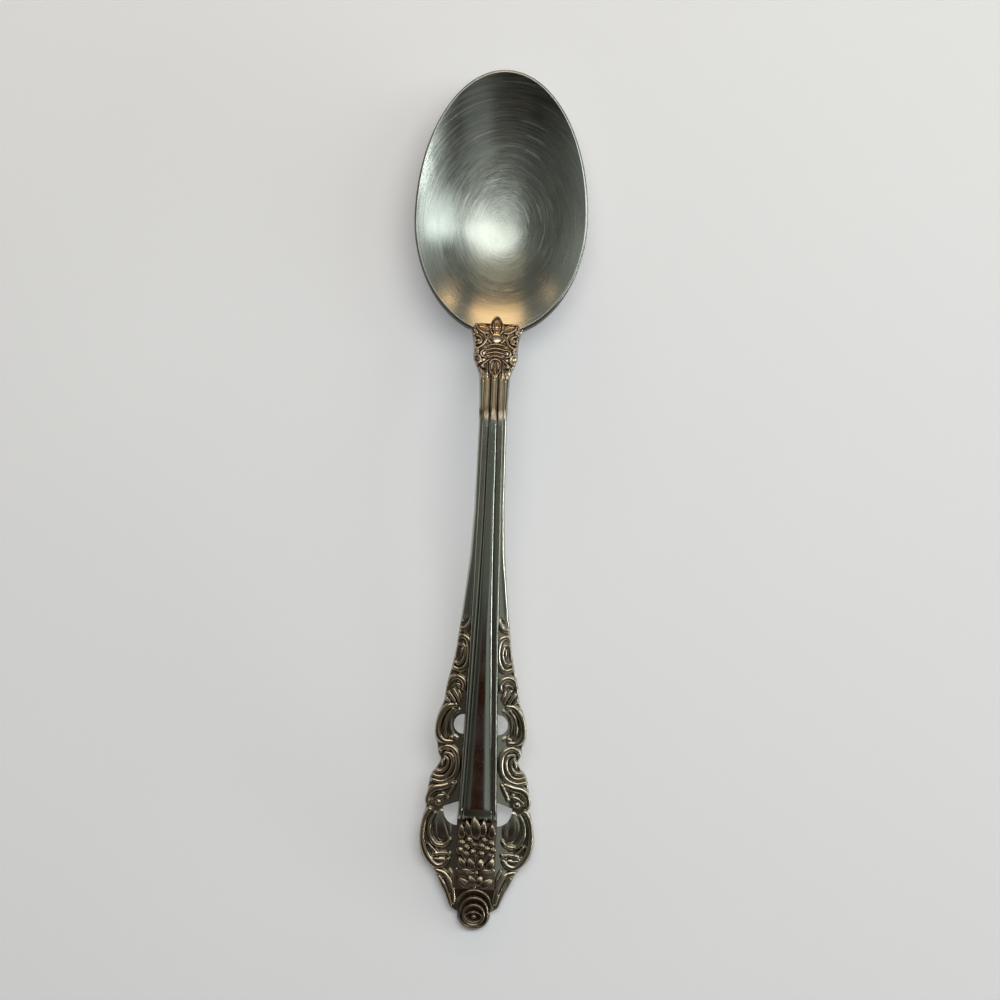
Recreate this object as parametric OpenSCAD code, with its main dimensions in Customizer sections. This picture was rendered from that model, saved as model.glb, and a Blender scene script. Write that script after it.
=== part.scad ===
// Baroque tablespoon with a pierced handle, lying bowl up on a table.
// +Y runs from the handle's tip to the bowl's tip, +Z is up, and the origin is on the table
// under the middle of the spoon's length. All sizes are in millimetres.

/* [Bowl] */
// Width of the bowl across its rim
bowl_w = 42; // [36:0.5:48]
// Length from the bowl's widest point to its tip
bowl_tip_l = 35.5; // [30:0.5:42]
// Length from the bowl's widest point back to the neck
bowl_heel_l = 26.5; // [23:0.5:31]
// Width of the bowl where the neck joins it
heel_w = 14.6; // [13:0.2:18]
// Thickness of the bowl where the neck joins it
heel_t = 3; // [2.4:0.1:3.8]
// Height of the rim above the table at the widest point
rim_z = 11; // [9:0.25:14]
// Fall of the rim towards the tip in degrees
rim_tilt = 3.5; // [0:0.5:6]
// Wall at the bottom of the bowl
bowl_t = 1.8; // [1.2:0.1:2.4]
// Width of the flat rim
rim_w = 1.2; // [0.8:0.1:1.8]
// Depth of the outer edge of the rim
rim_t = 0.6; // [0.3:0.1:1.2]

/* [Neck] */
// Length of the neck from the bowl to the shank
neck_l = 12; // [10:0.5:16]
// Width of the neck under its leaves
neck_w = 10.6; // [9:0.2:13]
// Height of the ornament on the neck
leaf_h = 0.7; // [0.4:0.05:1]

/* [Shank] */
// Length of the reeded rib from the neck to the flower spray
shank_l = 105.7; // [90:0.1:125]
// Width of the rib at the neck
rib_w_neck = 5; // [4.2:0.1:6]
// Width of the rib at the flower spray
rib_w_spray = 9.6; // [8:0.1:11]
// Height of the rib's crown above the middle of the handle
rib_h = 1.8; // [1.4:0.1:2.4]
// Width of the reed on each side of the crown at the neck
reed_w = 1.8; // [1.4:0.05:2]
// Width of the reed on each side of the crown along the borders
reed_w_border = 1.45; // [1.1:0.05:1.9]
// Height of the handle's arch above the table
arch_z = 18.5; // [15:0.5:23]
// Distance from the neck to the top of the arch
arch_run = 11; // [8:0.5:20]
// Length of the bend between the straight rise of the neck and the top of the arch
bend_l = 6; // [4:0.5:10]
// Depth of the back below the middle of the handle at the neck
back_neck = 2; // [1.5:0.1:2.6]
// Depth of the back below the middle of the handle at its end
back_end = 1.2; // [0.9:0.1:1.6]

/* [Borders] */
// Reach of the pierced border beyond the rib at its widest
border_w = 9; // [7:0.25:11]
// Length of the scrolled border above the flower spray
border_l = 49.4; // [42:0.1:56]
// Reach of the plain flange along the shank
flange_w = 0.8; // [0.6:0.05:1.2]
// Height of the border's face above the middle of the handle
face_z = 0.4; // [0.2:0.05:0.6]
// Height of the scrolls above the border's face
scroll_h = 1; // [0.6:0.05:1.2]
// Radius of the round piercing beside the rib
round_hole_r = 2.4; // [1.8:0.1:2.8]
// Reach of the lower piercing beyond the rib
leaf_hole_w = 3.6; // [2.4:0.1:4]
// Length of the lower piercing
leaf_hole_l = 5.8; // [4.5:0.1:6.2]

/* [Flower spray and tip] */
// Length of the flower spray
spray_l = 16.3; // [14:0.1:19]
// Radius of one floret
floret_r = 0.85; // [0.6:0.05:0.95]
// Height of one floret
floret_h = 0.9; // [0.6:0.05:1.2]
// Length of the tip below the flower spray
tip_l = 10; // [9:0.5:13]
// Radius of the round tip
tip_r = 4; // [3.4:0.1:4.4]
// Slope of the straight end of the handle in degrees
end_slope = 9; // [3:0.5:11]

/* [Hidden] */

steel = [0.62, 0.63, 0.61];
bright_steel = [0.70, 0.71, 0.69];
dark_steel = [0.50, 0.49, 0.46];

// Stations along the spoon
overall_l = bowl_tip_l + bowl_heel_l + neck_l + shank_l + spray_l + tip_l;
y_bowl = overall_l / 2 - bowl_tip_l;
y_neck = y_bowl - bowl_heel_l;
y_shank = y_neck - neck_l;
y_spray = y_shank - shank_l;
y_tip = y_spray - spray_l;
y_end = y_tip - tip_l;
y_arch = y_shank - arch_run;
y_scroll = y_spray + border_l;
straight_l = 5;
y_straight = y_spray + straight_l;
y_border_end = y_tip - tip_l + 1.15 * tip_r;

// The ornament is drawn on panels of these sizes and stretched to the piece that carries it
panel_w = 9;
panel_l = 49;
neck_panel_w = 10.6;
neck_panel_l = 12;
spray_panel_w = 9.6;
spray_panel_l = 16;

function lerp(a, b, t) = a + (b - a) * t;
function clamp01(t) = min(1, max(0, t));
function smooth(t) = let (s = clamp01(t)) s * s * (3 - 2 * s);
function hermite(t, z0, m0, z1, m1) =
    z0 * (2 * t ^ 3 - 3 * t ^ 2 + 1) + m0 * (t ^ 3 - 2 * t ^ 2 + t)
    + z1 * (3 * t ^ 2 - 2 * t ^ 3) + m1 * (t ^ 3 - t ^ 2);

// A smooth curve through points of any size, with n steps between each two
function spline_at(a, b, c, d, t) =
    0.5 * (2 * b + (c - a) * t + (2 * a - 5 * b + 4 * c - d) * t ^ 2 + (3 * b - a - 3 * c + d) * t ^ 3);
function spline(p, n) = let (e = len(p) - 1) [
    for (i = [0:e - 1], k = [0:n - 1])
        spline_at(p[max(i - 1, 0)], p[i], p[i + 1], p[min(i + 2, e)], k / n),
    p[e]
];
// The value at x of a smooth curve through [x, value] points with rising x
function curve_at(p, x) =
    let (e = len(p) - 1, i = max(0, min(e - 1, len([for (q = p) if (q[0] <= x) 1]) - 1)),
        t = clamp01((x - p[i][0]) / (p[i + 1][0] - p[i][0])))
    spline_at(p[max(i - 1, 0)], p[i], p[i + 1], p[min(i + 2, e)], t)[1];

// Height of the middle of the handle: a straight rise from the neck, a bend into the arch, and a straight end
function rim_at(y) = rim_z + (y_bowl - y) * tan(rim_tilt);
mid_neck = rim_at(y_neck) - heel_t / 2;
mid_end = back_end;
mid_straight = mid_end + (y_straight - y_end) * tan(end_slope);
rise = (arch_z - mid_neck) / (y_neck - y_arch - bend_l / 2);
function mid(y) =
    y > y_arch ? let (t = clamp01((y - y_arch) / bend_l))
        arch_z - rise * (bend_l * (t ^ 3 - t ^ 4 / 2) + max(0, y - y_arch - bend_l))
    : y > y_straight ? let (l = y_arch - y_straight)
        hermite((y_arch - y) / l, arch_z, 0, mid_straight, -l * tan(end_slope))
    : mid_end + (y - y_end) * tan(end_slope);
function back(y) = lerp(back_neck, back_end, smooth((y_shank - y) / (y_shank - y_scroll)));
function back_z(y) = mid(y) - back(y);
function border_z(y) = mid(y) + face_z;

// A closed solid through rings of points, with a fan to a middle point at each end
module loft(rings, first, last) {
    n = len(rings[0]);
    m = len(rings);
    a = n * m;
    polyhedron(
        points = [for (r = rings) each r, first, last],
        faces = [
            for (i = [0:n - 1]) [a, (i + 1) % n, i],
            for (j = [0:m - 2], i = [0:n - 1])
                let (p = j * n + i, q = j * n + (i + 1) % n)
                each [[p, q, q + n], [p, q + n, p + n]],
            for (i = [0:n - 1]) let (b = (m - 1) * n) [a + 1, b + i, b + (i + 1) % n]
        ]
    );
}
function middle(ring) = [for (k = [0:2]) let (v = [for (p = ring) p[k]]) (min(v) + max(v)) / 2];

// A half-round bead along points of [x, y, half width, height], standing on the height function floor_z
module bead(points, floor_z, steps = 3) {
    path = spline(points, steps);
    e = len(path) - 1;
    rings = [for (i = [0:e]) let (
        p = path[i],
        d = path[min(i + 1, e)] - path[max(i - 1, 0)],
        side = [d[1], -d[0]] / norm([d[0], d[1]])
    ) [for (s = [[1, 0], [0.75, 0.66], [0, 1], [-0.75, 0.66], [-1, 0]]) let (
        x = p[0] + side[0] * s[0] * p[2],
        y = p[1] + side[1] * s[0] * p[2]
    ) [x, y, floor_z(y) + s[1] * p[3]]]];
    loft(rings, middle([rings[0][0], rings[0][2], rings[0][4]]), middle([rings[e][0], rings[e][2], rings[e][4]]));
}

// Bowl

// The oval meets the neck in a straight edge as wide as the heel
oval_heel = bowl_heel_l / sqrt(1 - (heel_w / bowl_w) ^ 2);
function oval_r(a) =
    let (b = sin(a) > 0 ? bowl_tip_l : oval_heel,
        r = 1 / sqrt((cos(a) / (bowl_w / 2)) ^ 2 + (sin(a) / b) ^ 2))
    sin(a) < 0 ? min(r, bowl_heel_l / -sin(a)) : r;
corner_a = atan2(bowl_heel_l, heel_w / 2);
bowl_steps = 44;
heel_steps = 4;
bowl_angles = [
    for (k = [0:bowl_steps - 1]) lerp(-corner_a, 180 + corner_a, k / bowl_steps),
    for (k = [0:heel_steps - 1]) 360 + atan2(-bowl_heel_l, lerp(-heel_w / 2, heel_w / 2, k / heel_steps))
];
// 1 towards the neck, falling to 0 over the given angle on each side of it
function heelward(a, spread) = 1 - smooth((abs((a + 270) % 360 - 180) - (90 - corner_a)) / spread);
function bowl_point(a, rho, inset, z) =
    let (r = rho * (oval_r(a) - inset)) [r * cos(a), y_bowl + r * sin(a), z];
function rim_z_at(a) = rim_at(y_bowl + oval_r(a) * sin(a));
bowl_rings = [0.12, 0.21, 0.3, 0.4, 0.5, 0.6, 0.7, 0.79, 0.87, 0.94, 1];
// The wall rises as a power of the distance from the middle, more evenly towards the heel
side_power = 2.3;
heel_inside_power = 1.8;
heel_outside_power = 1.5;
function inside_z(a, rho) =
    bowl_t + (rim_z_at(a) - bowl_t) * rho ^ lerp(side_power, heel_inside_power, heelward(a, 90));
function outside_z(a, rho) =
    (rim_z_at(a) - lerp(rim_t, heel_t, heelward(a, 50)))
    * rho ^ lerp(side_power, heel_outside_power, heelward(a, 90));

module bowl() {
    inner = [for (rho = bowl_rings) [for (a = bowl_angles)
        bowl_point(a, rho, rim_w, inside_z(a, rho))]];
    edge = [for (a = bowl_angles) bowl_point(a, 1, 0, rim_z_at(a))];
    outer = [for (k = [len(bowl_rings) - 1:-1:0]) let (rho = bowl_rings[k]) [for (a = bowl_angles)
        bowl_point(a, rho, 0, rho < bowl_rings[1] ? 0 : outside_z(a, rho))]];
    color(bright_steel) loft([each inner, edge, each outer], [0, y_bowl, bowl_t], [0, y_bowl, 0]);
}

// Rib, with a crown between two reeds

function rib_half(y) = lerp(rib_w_neck, rib_w_spray, clamp01((y_shank - y) / shank_l) ^ 1.6) / 2;
function reed(y) = lerp(reed_w, reed_w_border, smooth((y_shank - y) / (y_shank - y_scroll)));
// Right half of the section in [share of the crown, share of the reed, share of the height]
rib_profile = [[0, 0, 1], [0.55, 0, 0.94], [0.88, 0, 0.72], [1, 0, 0.32], [1, 0.3, 0.66], [1, 0.7, 0.6], [1, 1, 0]];
function rib_section(y) =
    let (c = rib_half(y), crown = c - reed(y),
        right = [for (p = rib_profile) [p[0] * crown + p[1] * reed(y), lerp(face_z, rib_h, p[2])], [c, -back(y)]])
    [for (k = [len(right) - 1:-1:1]) [-right[k][0], y, mid(y) + right[k][1]],
        for (p = right) [p[0], y, mid(y) + p[1]]];

module shank() {
    steps = 34;
    rings = [for (k = [0:steps]) rib_section(lerp(y_shank, y_spray, k / steps))];
    color(steel) loft(rings, [0, y_shank, mid(y_shank)], [0, y_spray, mid(y_spray)]);
}

// Neck

function flange_half(y) = rib_half(y) + reach(y);
function neck_half(y) =
    let (t = (y_neck - y) / neck_l, waist = neck_w / 2)
    waist + (heel_w / 2 - waist) * clamp01(1 - t / 0.45) ^ 2.2
    - (waist - flange_half(y_shank)) * smooth((t - 0.55) / 0.45);
function neck_top(y) = mid(y) + lerp(heel_t / 2, face_z + 0.9, smooth((y_neck - y) / neck_l));
function neck_back(y) = mid(y) - lerp(heel_t / 2, back_neck, smooth((y_neck - y) / neck_l));
function neck_section(y) =
    let (h = neck_half(y), top = neck_top(y), bottom = neck_back(y), chamfer = 0.5,
        right = [[h - chamfer, top], [h, top - chamfer], [h, lerp(bottom, top, 0.4)], [h * 0.75, bottom]])
    [for (k = [len(right) - 1:-1:0]) [-right[k][0], y, right[k][1]], for (p = right) [p[0], y, p[1]]];

module neck() {
    steps = 12;
    rings = [for (k = [0:steps]) neck_section(lerp(y_neck, y_shank, k / steps))];
    color(steel) loft(rings, middle(rings[0]), middle(rings[steps]));
}

// Leaves on the neck, with the top petal lying on the bowl's inner wall

function heel_wall(y) =
    bowl_t + (rim_at(y_neck) - bowl_t) * ((y_bowl - y) / (bowl_heel_l - rim_w)) ^ heel_inside_power;
function neck_floor(y) =
    y > y_neck + rim_w ? heel_wall(y) : y > y_neck ? rim_at(y_neck) : neck_top(y);

// Leaves right of the axis, mirrored to the left, in [across, down the panel, half width, height]
neck_pattern = [
    [[2.2, -0.6, 0.2, 0.6], [3.6, -1.3, 0.35, 0.9], [5.1, -1.1, 0.3, 0.8], [5.0, 0.6, 0.25, 0.6]],
    [[4.4, -0.4, 0.2, 0.6], [3.4, 0.8, 0.4, 0.9], [2.8, 2.2, 0.3, 0.7]],
    [[4.5, 1.4, 0.25, 0.7], [3.9, 2.6, 0.45, 1], [4.2, 3.9, 0.3, 0.7]],
    [[2.6, 4.0, 0.2, 0.6], [3.7, 5.0, 0.35, 0.9], [4.6, 4.6, 0.25, 0.6]],
    [[4.3, 5.7, 0.25, 0.7], [3.5, 6.6, 0.45, 1], [3.4, 8.2, 0.4, 0.9], [2.6, 9.3, 0.3, 0.7]],
    [[2.5, 6.4, 0.2, 0.6], [2.3, 8.0, 0.35, 0.9], [1.7, 10.2, 0.25, 0.7], [1.6, 11.8, 0.2, 0.5]],
];
neck_petals = [
    [[0, -3.4, 0.25, 0.6], [0, -1.6, 1.2, 1], [0, 0.2, 1.2, 1], [0, 1.0, 0.6, 0.7]],
    [[0, 1.2, 0.5, 0.7], [0, 2.2, 1.5, 1], [0, 3.2, 1.2, 0.8]],
    [[0, 7.0, 0.6, 0.8], [0, 8.4, 1.0, 1], [0, 10.0, 0.5, 0.8], [0, 11.2, 0.15, 0.5]],
];
neck_band = [3.8, 4.6, 5.4, 6.2];

module neck_bead(points) {
    across = neck_w / neck_panel_w;
    down = neck_l / neck_panel_l;
    bead([for (p = points) [p[0] * across, y_neck - p[1] * (p[1] > 0 ? down : 1), p[2], p[3] * leaf_h]],
        function (y) neck_floor(y), 2);
}

module neck_leaves() {
    color(dark_steel) {
        for (leaf = neck_pattern, side = [0, 1]) mirror([side, 0, 0]) neck_bead(leaf);
        for (petal = neck_petals) neck_bead(petal);
        for (k = [0:len(neck_band) - 1]) let (w = 2.1 - 0.25 * k, v = neck_band[k])
            neck_bead([[-w, v + 0.4, 0.2, 0.6], [0, v, 0.3, 0.9], [w, v + 0.4, 0.2, 0.6]]);
    }
}

// Borders

// Reach of the border beyond the rib: along the plain flange, then along the scrolls
flange_reach = [[0, 1.5], [0.15, 1], [0.55, 1], [0.75, 1.5], [1, 2.9]];
scroll_reach = [[0, 2.3], [4, 2.85], [9, 3.1], [13, 4], [16, 4.6], [20, 5], [23, 6.2], [27, 7], [29.5, 6.8],
    [32, 5.9], [34.5, 5.5], [37.5, 6.7], [41, 7.3], [45, 8], [46.5, 7.8], [50, 8.6], [54, 9], [57, 8.4],
    [60, 6.6], [61.5, 5.2], [64, 3.8], [67, 2.8], [69.5, 1.9], [71, 0.5]];
function reach(y) =
    y >= y_scroll ? flange_w * curve_at(flange_reach, (y_shank - y) / (y_shank - y_scroll))
    : border_w / panel_w * curve_at(scroll_reach, panel_v(y));
// The panel is stretched with the border above the spray, and with the spray and tip below it
panel_tip = panel_l + spray_panel_l;
panel_end = 71;
function panel_v(y) =
    y > y_spray ? (y_scroll - y) / border_l * panel_l
    : y > y_tip ? panel_l + (y_spray - y) / spray_l * spray_panel_l
    : panel_tip + (y_tip - y) / (y_tip - y_border_end) * (panel_end - panel_tip);
function panel_y(v) =
    v < panel_l ? y_scroll - v / panel_l * border_l
    : v < panel_tip ? y_spray - (v - panel_l) / spray_panel_l * spray_l
    : y_tip - (v - panel_tip) / (panel_end - panel_tip) * (y_tip - y_border_end);
// Inner edge of the border: the rib, then the spray, then the flank of the tip
function inner_edge(y) = y > y_tip ? rib_half(y)
    : lerp(rib_w_spray / 2, tip_r, clamp01((y_tip - y) / (y_tip - y_border_end)));

y_round_hole = panel_y(25.6);
y_leaf_hole = y_spray + leaf_hole_l - 0.9;
leaf_hole_ramp = 1.4;
function piercing(y) =
    let (a = abs(y - y_round_hole), b = y_leaf_hole - leaf_hole_ramp - y, low = leaf_hole_l - leaf_hole_ramp)
    a < round_hole_r ? sqrt(round_hole_r ^ 2 - a ^ 2)
    : b > 0 && b < low ? leaf_hole_w * sqrt(1 - (b / low) ^ 2)
    : b > -leaf_hole_ramp && b <= 0 ? leaf_hole_w * (1 + b / leaf_hole_ramp)
    : 0;
function border_section(y) =
    let (inner = inner_edge(y) + piercing(y), outer = inner_edge(y) + reach(y), low = back_z(y), high = border_z(y),
        bevel = min(0.5, (outer - inner) / 3), under = min(back(y) * 0.7, (outer - inner) / 2))
    [[inner, y, low], [inner, y, high], [outer - bevel, y, high], [outer, y, high - bevel], [outer, y, lerp(low, high, 0.4)],
        [outer - under, y, low]];

module border() {
    plain = [for (k = [0:11]) lerp(y_shank, y_scroll, k / 12)];
    scrolled = [for (k = [0:88]) lerp(y_scroll, y_border_end, k / 88)];
    rings = [for (y = [each plain, each scrolled]) border_section(y)];
    last = len(rings) - 1;
    loft(rings, middle(rings[0]), middle(rings[last]));
}
module right_border() { color(steel) border(); }
module left_border() { color(steel) mirror([1, 0, 0]) border(); }

// Scrolls on a border, in [out from the rib, down the panel, half width, height]
scroll_pattern = [
    // Hook at the end of the flange
    [[0.35, 0, 0.25, 0.5], [0.5, 2, 0.4, 0.8], [1.3, 3.2, 0.45, 0.9], [2.5, 3.0, 0.3, 0.6]],
    [[1.2, 0.2, 0.2, 0.5], [1.5, 1.4, 0.35, 0.7], [2.3, 1.6, 0.25, 0.5]],
    // Oval shell
    [[2.7, 4.9, 0.3, 0.7], [1.6, 4.7, 0.45, 0.9], [0.75, 5.6, 0.45, 1], [0.6, 7.5, 0.45, 1], [0.65, 10, 0.45, 1],
        [0.95, 12, 0.5, 1], [2.0, 12.9, 0.5, 0.9], [3.4, 12.4, 0.3, 0.7]],
    [[2.6, 6.4, 0.25, 0.6], [1.9, 6.5, 0.3, 0.8], [1.45, 8, 0.25, 0.8], [1.5, 10, 0.25, 0.8], [2.0, 11.3, 0.3, 0.8],
        [2.9, 11.1, 0.25, 0.6]],
    [[2.2, 7.8, 0.3, 0.7], [2.3, 8.9, 0.4, 1], [2.3, 10, 0.3, 0.7]],
    // Arch over the fan
    [[0.55, 17.4, 0.3, 0.7], [0.7, 15.7, 0.4, 0.9], [1.6, 14.7, 0.45, 1], [3.0, 14.6, 0.45, 1], [4.0, 15.3, 0.3, 0.7]],
    [[1.6, 17.0, 0.25, 0.6], [2.0, 16.3, 0.3, 0.8], [2.9, 16.2, 0.3, 0.8], [3.7, 17.0, 0.25, 0.6]],
    // Rays of the fan
    [[1.0, 20.5, 0.3, 0.6], [0.9, 18.4, 0.4, 0.9]],
    [[1.9, 20.5, 0.3, 0.6], [2.1, 18.0, 0.45, 0.9]],
    [[2.8, 20.5, 0.3, 0.6], [3.3, 18.1, 0.45, 0.9]],
    [[3.7, 20.5, 0.3, 0.6], [4.3, 18.9, 0.4, 0.9]],
    // Tall arch beside the round piercing
    [[3.4, 21.8, 0.3, 0.7], [4.9, 23.2, 0.5, 0.9], [6.0, 25.5, 0.6, 1], [6.2, 28, 0.6, 1], [5.2, 29.9, 0.55, 1],
        [3.8, 30.1, 0.45, 0.9], [2.8, 29.3, 0.4, 0.8]],
    [[2.9, 22.6, 0.2, 0.6], [4.0, 24.5, 0.35, 0.9], [4.5, 27, 0.4, 0.9], [4.1, 28.7, 0.3, 0.7]],
    [[2.8, 24.3, 0.2, 0.6], [3.2, 26.2, 0.3, 0.8], [3.0, 28.1, 0.3, 0.8]],
    // Double scroll below the tall arch
    [[5.4, 31.9, 0.25, 0.7], [4.1, 31.4, 0.4, 0.9], [2.5, 31.7, 0.5, 1], [1.3, 33.1, 0.5, 1], [0.85, 35.5, 0.5, 1],
        [1.3, 37.9, 0.55, 1], [2.8, 39.7, 0.55, 1], [4.7, 40.1, 0.5, 0.9], [6.6, 39.4, 0.3, 0.7]],
    [[4.8, 33.2, 0.25, 0.7], [3.7, 32.9, 0.3, 0.9], [2.7, 34, 0.35, 0.9], [2.3, 36, 0.35, 0.9], [3.0, 37.9, 0.35, 0.9],
        [4.5, 38.6, 0.35, 0.9], [6.0, 38.0, 0.25, 0.7]],
    [[3.8, 34.2, 0.25, 0.7], [3.6, 35.8, 0.4, 1], [4.2, 37.1, 0.4, 0.9], [5.3, 36.9, 0.25, 0.7]],
    // Leaf with a turned edge, and the tendril beside it
    [[3.2, 41.4, 0.25, 0.6], [4.9, 41.6, 0.6, 1], [6.5, 43, 0.7, 1], [7.2, 44.7, 0.55, 0.9], [6.8, 45.9, 0.3, 0.6]],
    [[3.6, 43.0, 0.2, 0.6], [4.6, 43.9, 0.35, 0.9], [5.1, 45.2, 0.45, 0.9]],
    [[0.5, 38.9, 0.2, 0.6], [1.0, 41.2, 0.35, 0.9], [2.0, 43.2, 0.4, 0.9]],
    // Great loop round the lower piercing
    [[6.6, 47.2, 0.3, 0.7], [7.6, 49.5, 0.55, 0.9], [8.1, 53, 0.7, 1], [7.3, 56.6, 0.7, 1], [5.7, 58.9, 0.65, 1],
        [3.6, 59.5, 0.6, 1], [2.0, 58.4, 0.5, 0.9], [1.5, 57, 0.4, 0.8]],
    [[5.2, 55.6, 0.25, 0.7], [5.5, 57, 0.35, 0.9], [4.4, 57.8, 0.35, 0.9], [3.4, 57, 0.3, 0.8]],
    [[1.2, 53.7, 0.4, 0.8], [2.3, 55.1, 0.45, 1], [4.1, 55.1, 0.45, 1], [5.7, 53.3, 0.4, 0.9], [6.3, 50.6, 0.25, 0.6]],
    [[5.2, 48.3, 0.2, 0.5], [5.3, 50.4, 0.35, 0.7], [4.4, 52.8, 0.25, 0.5]],
    // Long leaves beside the tip
    [[4.1, 61.6, 0.3, 0.7], [2.8, 61.8, 0.5, 0.9], [1.5, 63.5, 0.55, 1], [0.8, 66, 0.5, 1], [0.7, 68.6, 0.3, 0.7]],
    [[3.6, 63.2, 0.25, 0.6], [2.5, 65.6, 0.35, 0.9], [1.9, 68.2, 0.25, 0.6]],
];

module scrolls() {
    stretch = border_w / panel_w;
    for (points = scroll_pattern) bead(
        [for (p = points) let (y = panel_y(p[1])) [inner_edge(y) + p[0] * stretch, y, p[2] * stretch, p[3] * scroll_h]],
        function (y) border_z(y));
}
module right_scrolls() { color(dark_steel) scrolls(); }
module left_scrolls() { color(dark_steel) mirror([1, 0, 0]) scrolls(); }

// Flower spray on the straight end of the handle

// Puts a piece on the face of the straight end, square to its slope
module on_end(x, y) { translate([x, y, border_z(y)]) rotate([end_slope, 0, 0]) children(); }
// A dome with a flat foot
module dome(r, h) {
    rotate_extrude($fn = 48) intersection() {
        translate([0, h - (r * r + h * h) / (2 * h)]) circle(r = (r * r + h * h) / (2 * h), $fn = 96);
        square([r, h]);
    }
}

module spray_plate() {
    half = rib_w_spray / 2;
    ring = function (y) [[-half, y, back_z(y)], [-half, y, border_z(y)], [half, y, border_z(y)], [half, y, back_z(y)]];
    color(steel) loft([ring(y_spray), ring(y_tip)], middle(ring(y_spray)), middle(ring(y_tip)));
}

// Leaves right of the axis, mirrored to the left, in [across, down the panel, half width, height]
spray_pattern = [
    [[3.6, 0.5, 0.15, 0.4], [3.5, 1.6, 0.6, 1], [3.3, 2.9, 0.3, 0.6]],
    [[3.9, 8.7, 0.15, 0.5], [3.3, 9.8, 0.45, 1], [2.1, 11.2, 0.2, 0.6]],
    [[1.8, 8.8, 0.15, 0.5], [1.4, 9.7, 0.45, 1], [0.5, 11.3, 0.2, 0.6]],
    [[4.1, 12.0, 0.2, 0.6], [2.6, 11.9, 0.3, 0.9], [0.9, 12.2, 0.3, 0.9]],
    [[4.3, 14.2, 0.15, 0.5], [3.2, 13.4, 0.45, 1], [1.7, 13.0, 0.2, 0.6]],
    [[2.4, 15.4, 0.15, 0.5], [1.6, 14.5, 0.45, 1], [0.7, 13.3, 0.2, 0.6]],
];
spray_heart = [[0, 0.4, 0.2, 0.6], [0, 1.8, 0.9, 1.1], [0, 3.2, 0.4, 0.7]];
module spray_leaves() {
    down = spray_l / spray_panel_l;
    across = rib_w_spray / spray_panel_w;
    place = function (p) [p[0] * across, y_spray - p[1] * down, p[2], p[3] * scroll_h];
    color(dark_steel) {
        for (leaf = spray_pattern, side = [0, 1])
            mirror([side, 0, 0]) bead([for (p = leaf) place(p)], function (y) border_z(y), 2);
        bead([for (p = spray_heart) place(p)], function (y) border_z(y), 2);
    }
}

// Florets in rows of [down the spray, number of florets]
floret_rows = [[4.0, 3], [5.6, 4], [7.2, 3]];
module florets() {
    pitch = rib_w_spray / spray_panel_w * 2.1;
    color(dark_steel) for (row = floret_rows, k = [0:row[1] - 1])
        on_end((k - (row[1] - 1) / 2) * pitch, y_spray - row[0] * spray_l / spray_panel_l) dome(floret_r, floret_h);
}

// Tip: a round boss with raised rings

tip_t = (back_end + face_z) * cos(end_slope);
y_boss = y_end + tip_r * cos(end_slope) + tip_t * sin(end_slope);
module tip() {
    color(steel) translate([0, y_boss, back_z(y_boss)]) rotate([end_slope, 0, 0]) linear_extrude(tip_t) {
        circle(r = tip_r, $fn = 64);
        run = (y_tip - y_boss) / cos(end_slope);
        polygon([[-tip_r, 0], [tip_r, 0], [rib_w_spray / 2, run], [-rib_w_spray / 2, run]]);
    }
}
module ring_bead(r, w, h, from = 0, turn = 360) {
    rotate([0, 0, from]) rotate_extrude(angle = turn, $fn = 64)
        translate([r, 0]) polygon([[-w, 0], [-0.7 * w, 0.66 * h], [0, h], [0.7 * w, 0.66 * h], [w, 0]]);
}
module tip_rings() {
    color(dark_steel) on_end(0, y_boss) {
        ring_bead(tip_r - 0.6, 0.5, scroll_h);
        ring_bead(tip_r - 1.9, 0.4, scroll_h * 0.8);
        dome(tip_r * 0.28, scroll_h * 0.7);
        ring_bead(tip_r + 0.75, 0.45, scroll_h * 0.8, 48, 84);
    }
}

bowl();
neck();
neck_leaves();
shank();
right_border();
left_border();
right_scrolls();
left_scrolls();
spray_plate();
spray_leaves();
florets();
tip();
tip_rings();
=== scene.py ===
"""Looks of a tablespoon with a reeded shank and pierced, scrolled borders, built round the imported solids."""

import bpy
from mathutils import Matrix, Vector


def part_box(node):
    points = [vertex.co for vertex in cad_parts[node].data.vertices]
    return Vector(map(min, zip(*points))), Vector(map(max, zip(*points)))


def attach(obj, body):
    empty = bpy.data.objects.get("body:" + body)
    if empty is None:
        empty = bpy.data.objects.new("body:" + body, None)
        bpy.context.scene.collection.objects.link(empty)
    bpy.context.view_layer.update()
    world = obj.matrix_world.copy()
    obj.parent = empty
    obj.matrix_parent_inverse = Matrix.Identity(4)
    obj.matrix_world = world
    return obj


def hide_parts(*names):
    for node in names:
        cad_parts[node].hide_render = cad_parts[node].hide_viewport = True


bl_info = {
    "name": "Scrolled Tablespoon",
    "version": (1, 0, 0),
    "blender": (4, 5, 0),
    "location": "View3D > Sidebar > Tablespoon",
    "description": "Builds a tablespoon with a satin bowl, a reeded shank and pierced, scrolled borders",
    "category": "Add Mesh",
}

import copy
import math

import bpy
import numpy as np
from bpy.props import FloatProperty, FloatVectorProperty, PointerProperty

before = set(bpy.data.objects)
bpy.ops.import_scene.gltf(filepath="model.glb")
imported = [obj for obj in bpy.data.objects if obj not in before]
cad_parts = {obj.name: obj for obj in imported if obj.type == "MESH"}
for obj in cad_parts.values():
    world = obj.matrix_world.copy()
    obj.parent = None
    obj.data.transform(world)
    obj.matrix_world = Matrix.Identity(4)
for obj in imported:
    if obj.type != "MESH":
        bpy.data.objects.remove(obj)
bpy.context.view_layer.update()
MM = 0.001


def end_of(node, high):
    """Lowest or highest y of a solid, in millimetres."""
    return round(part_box(node)[high].y / MM, 3)


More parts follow.
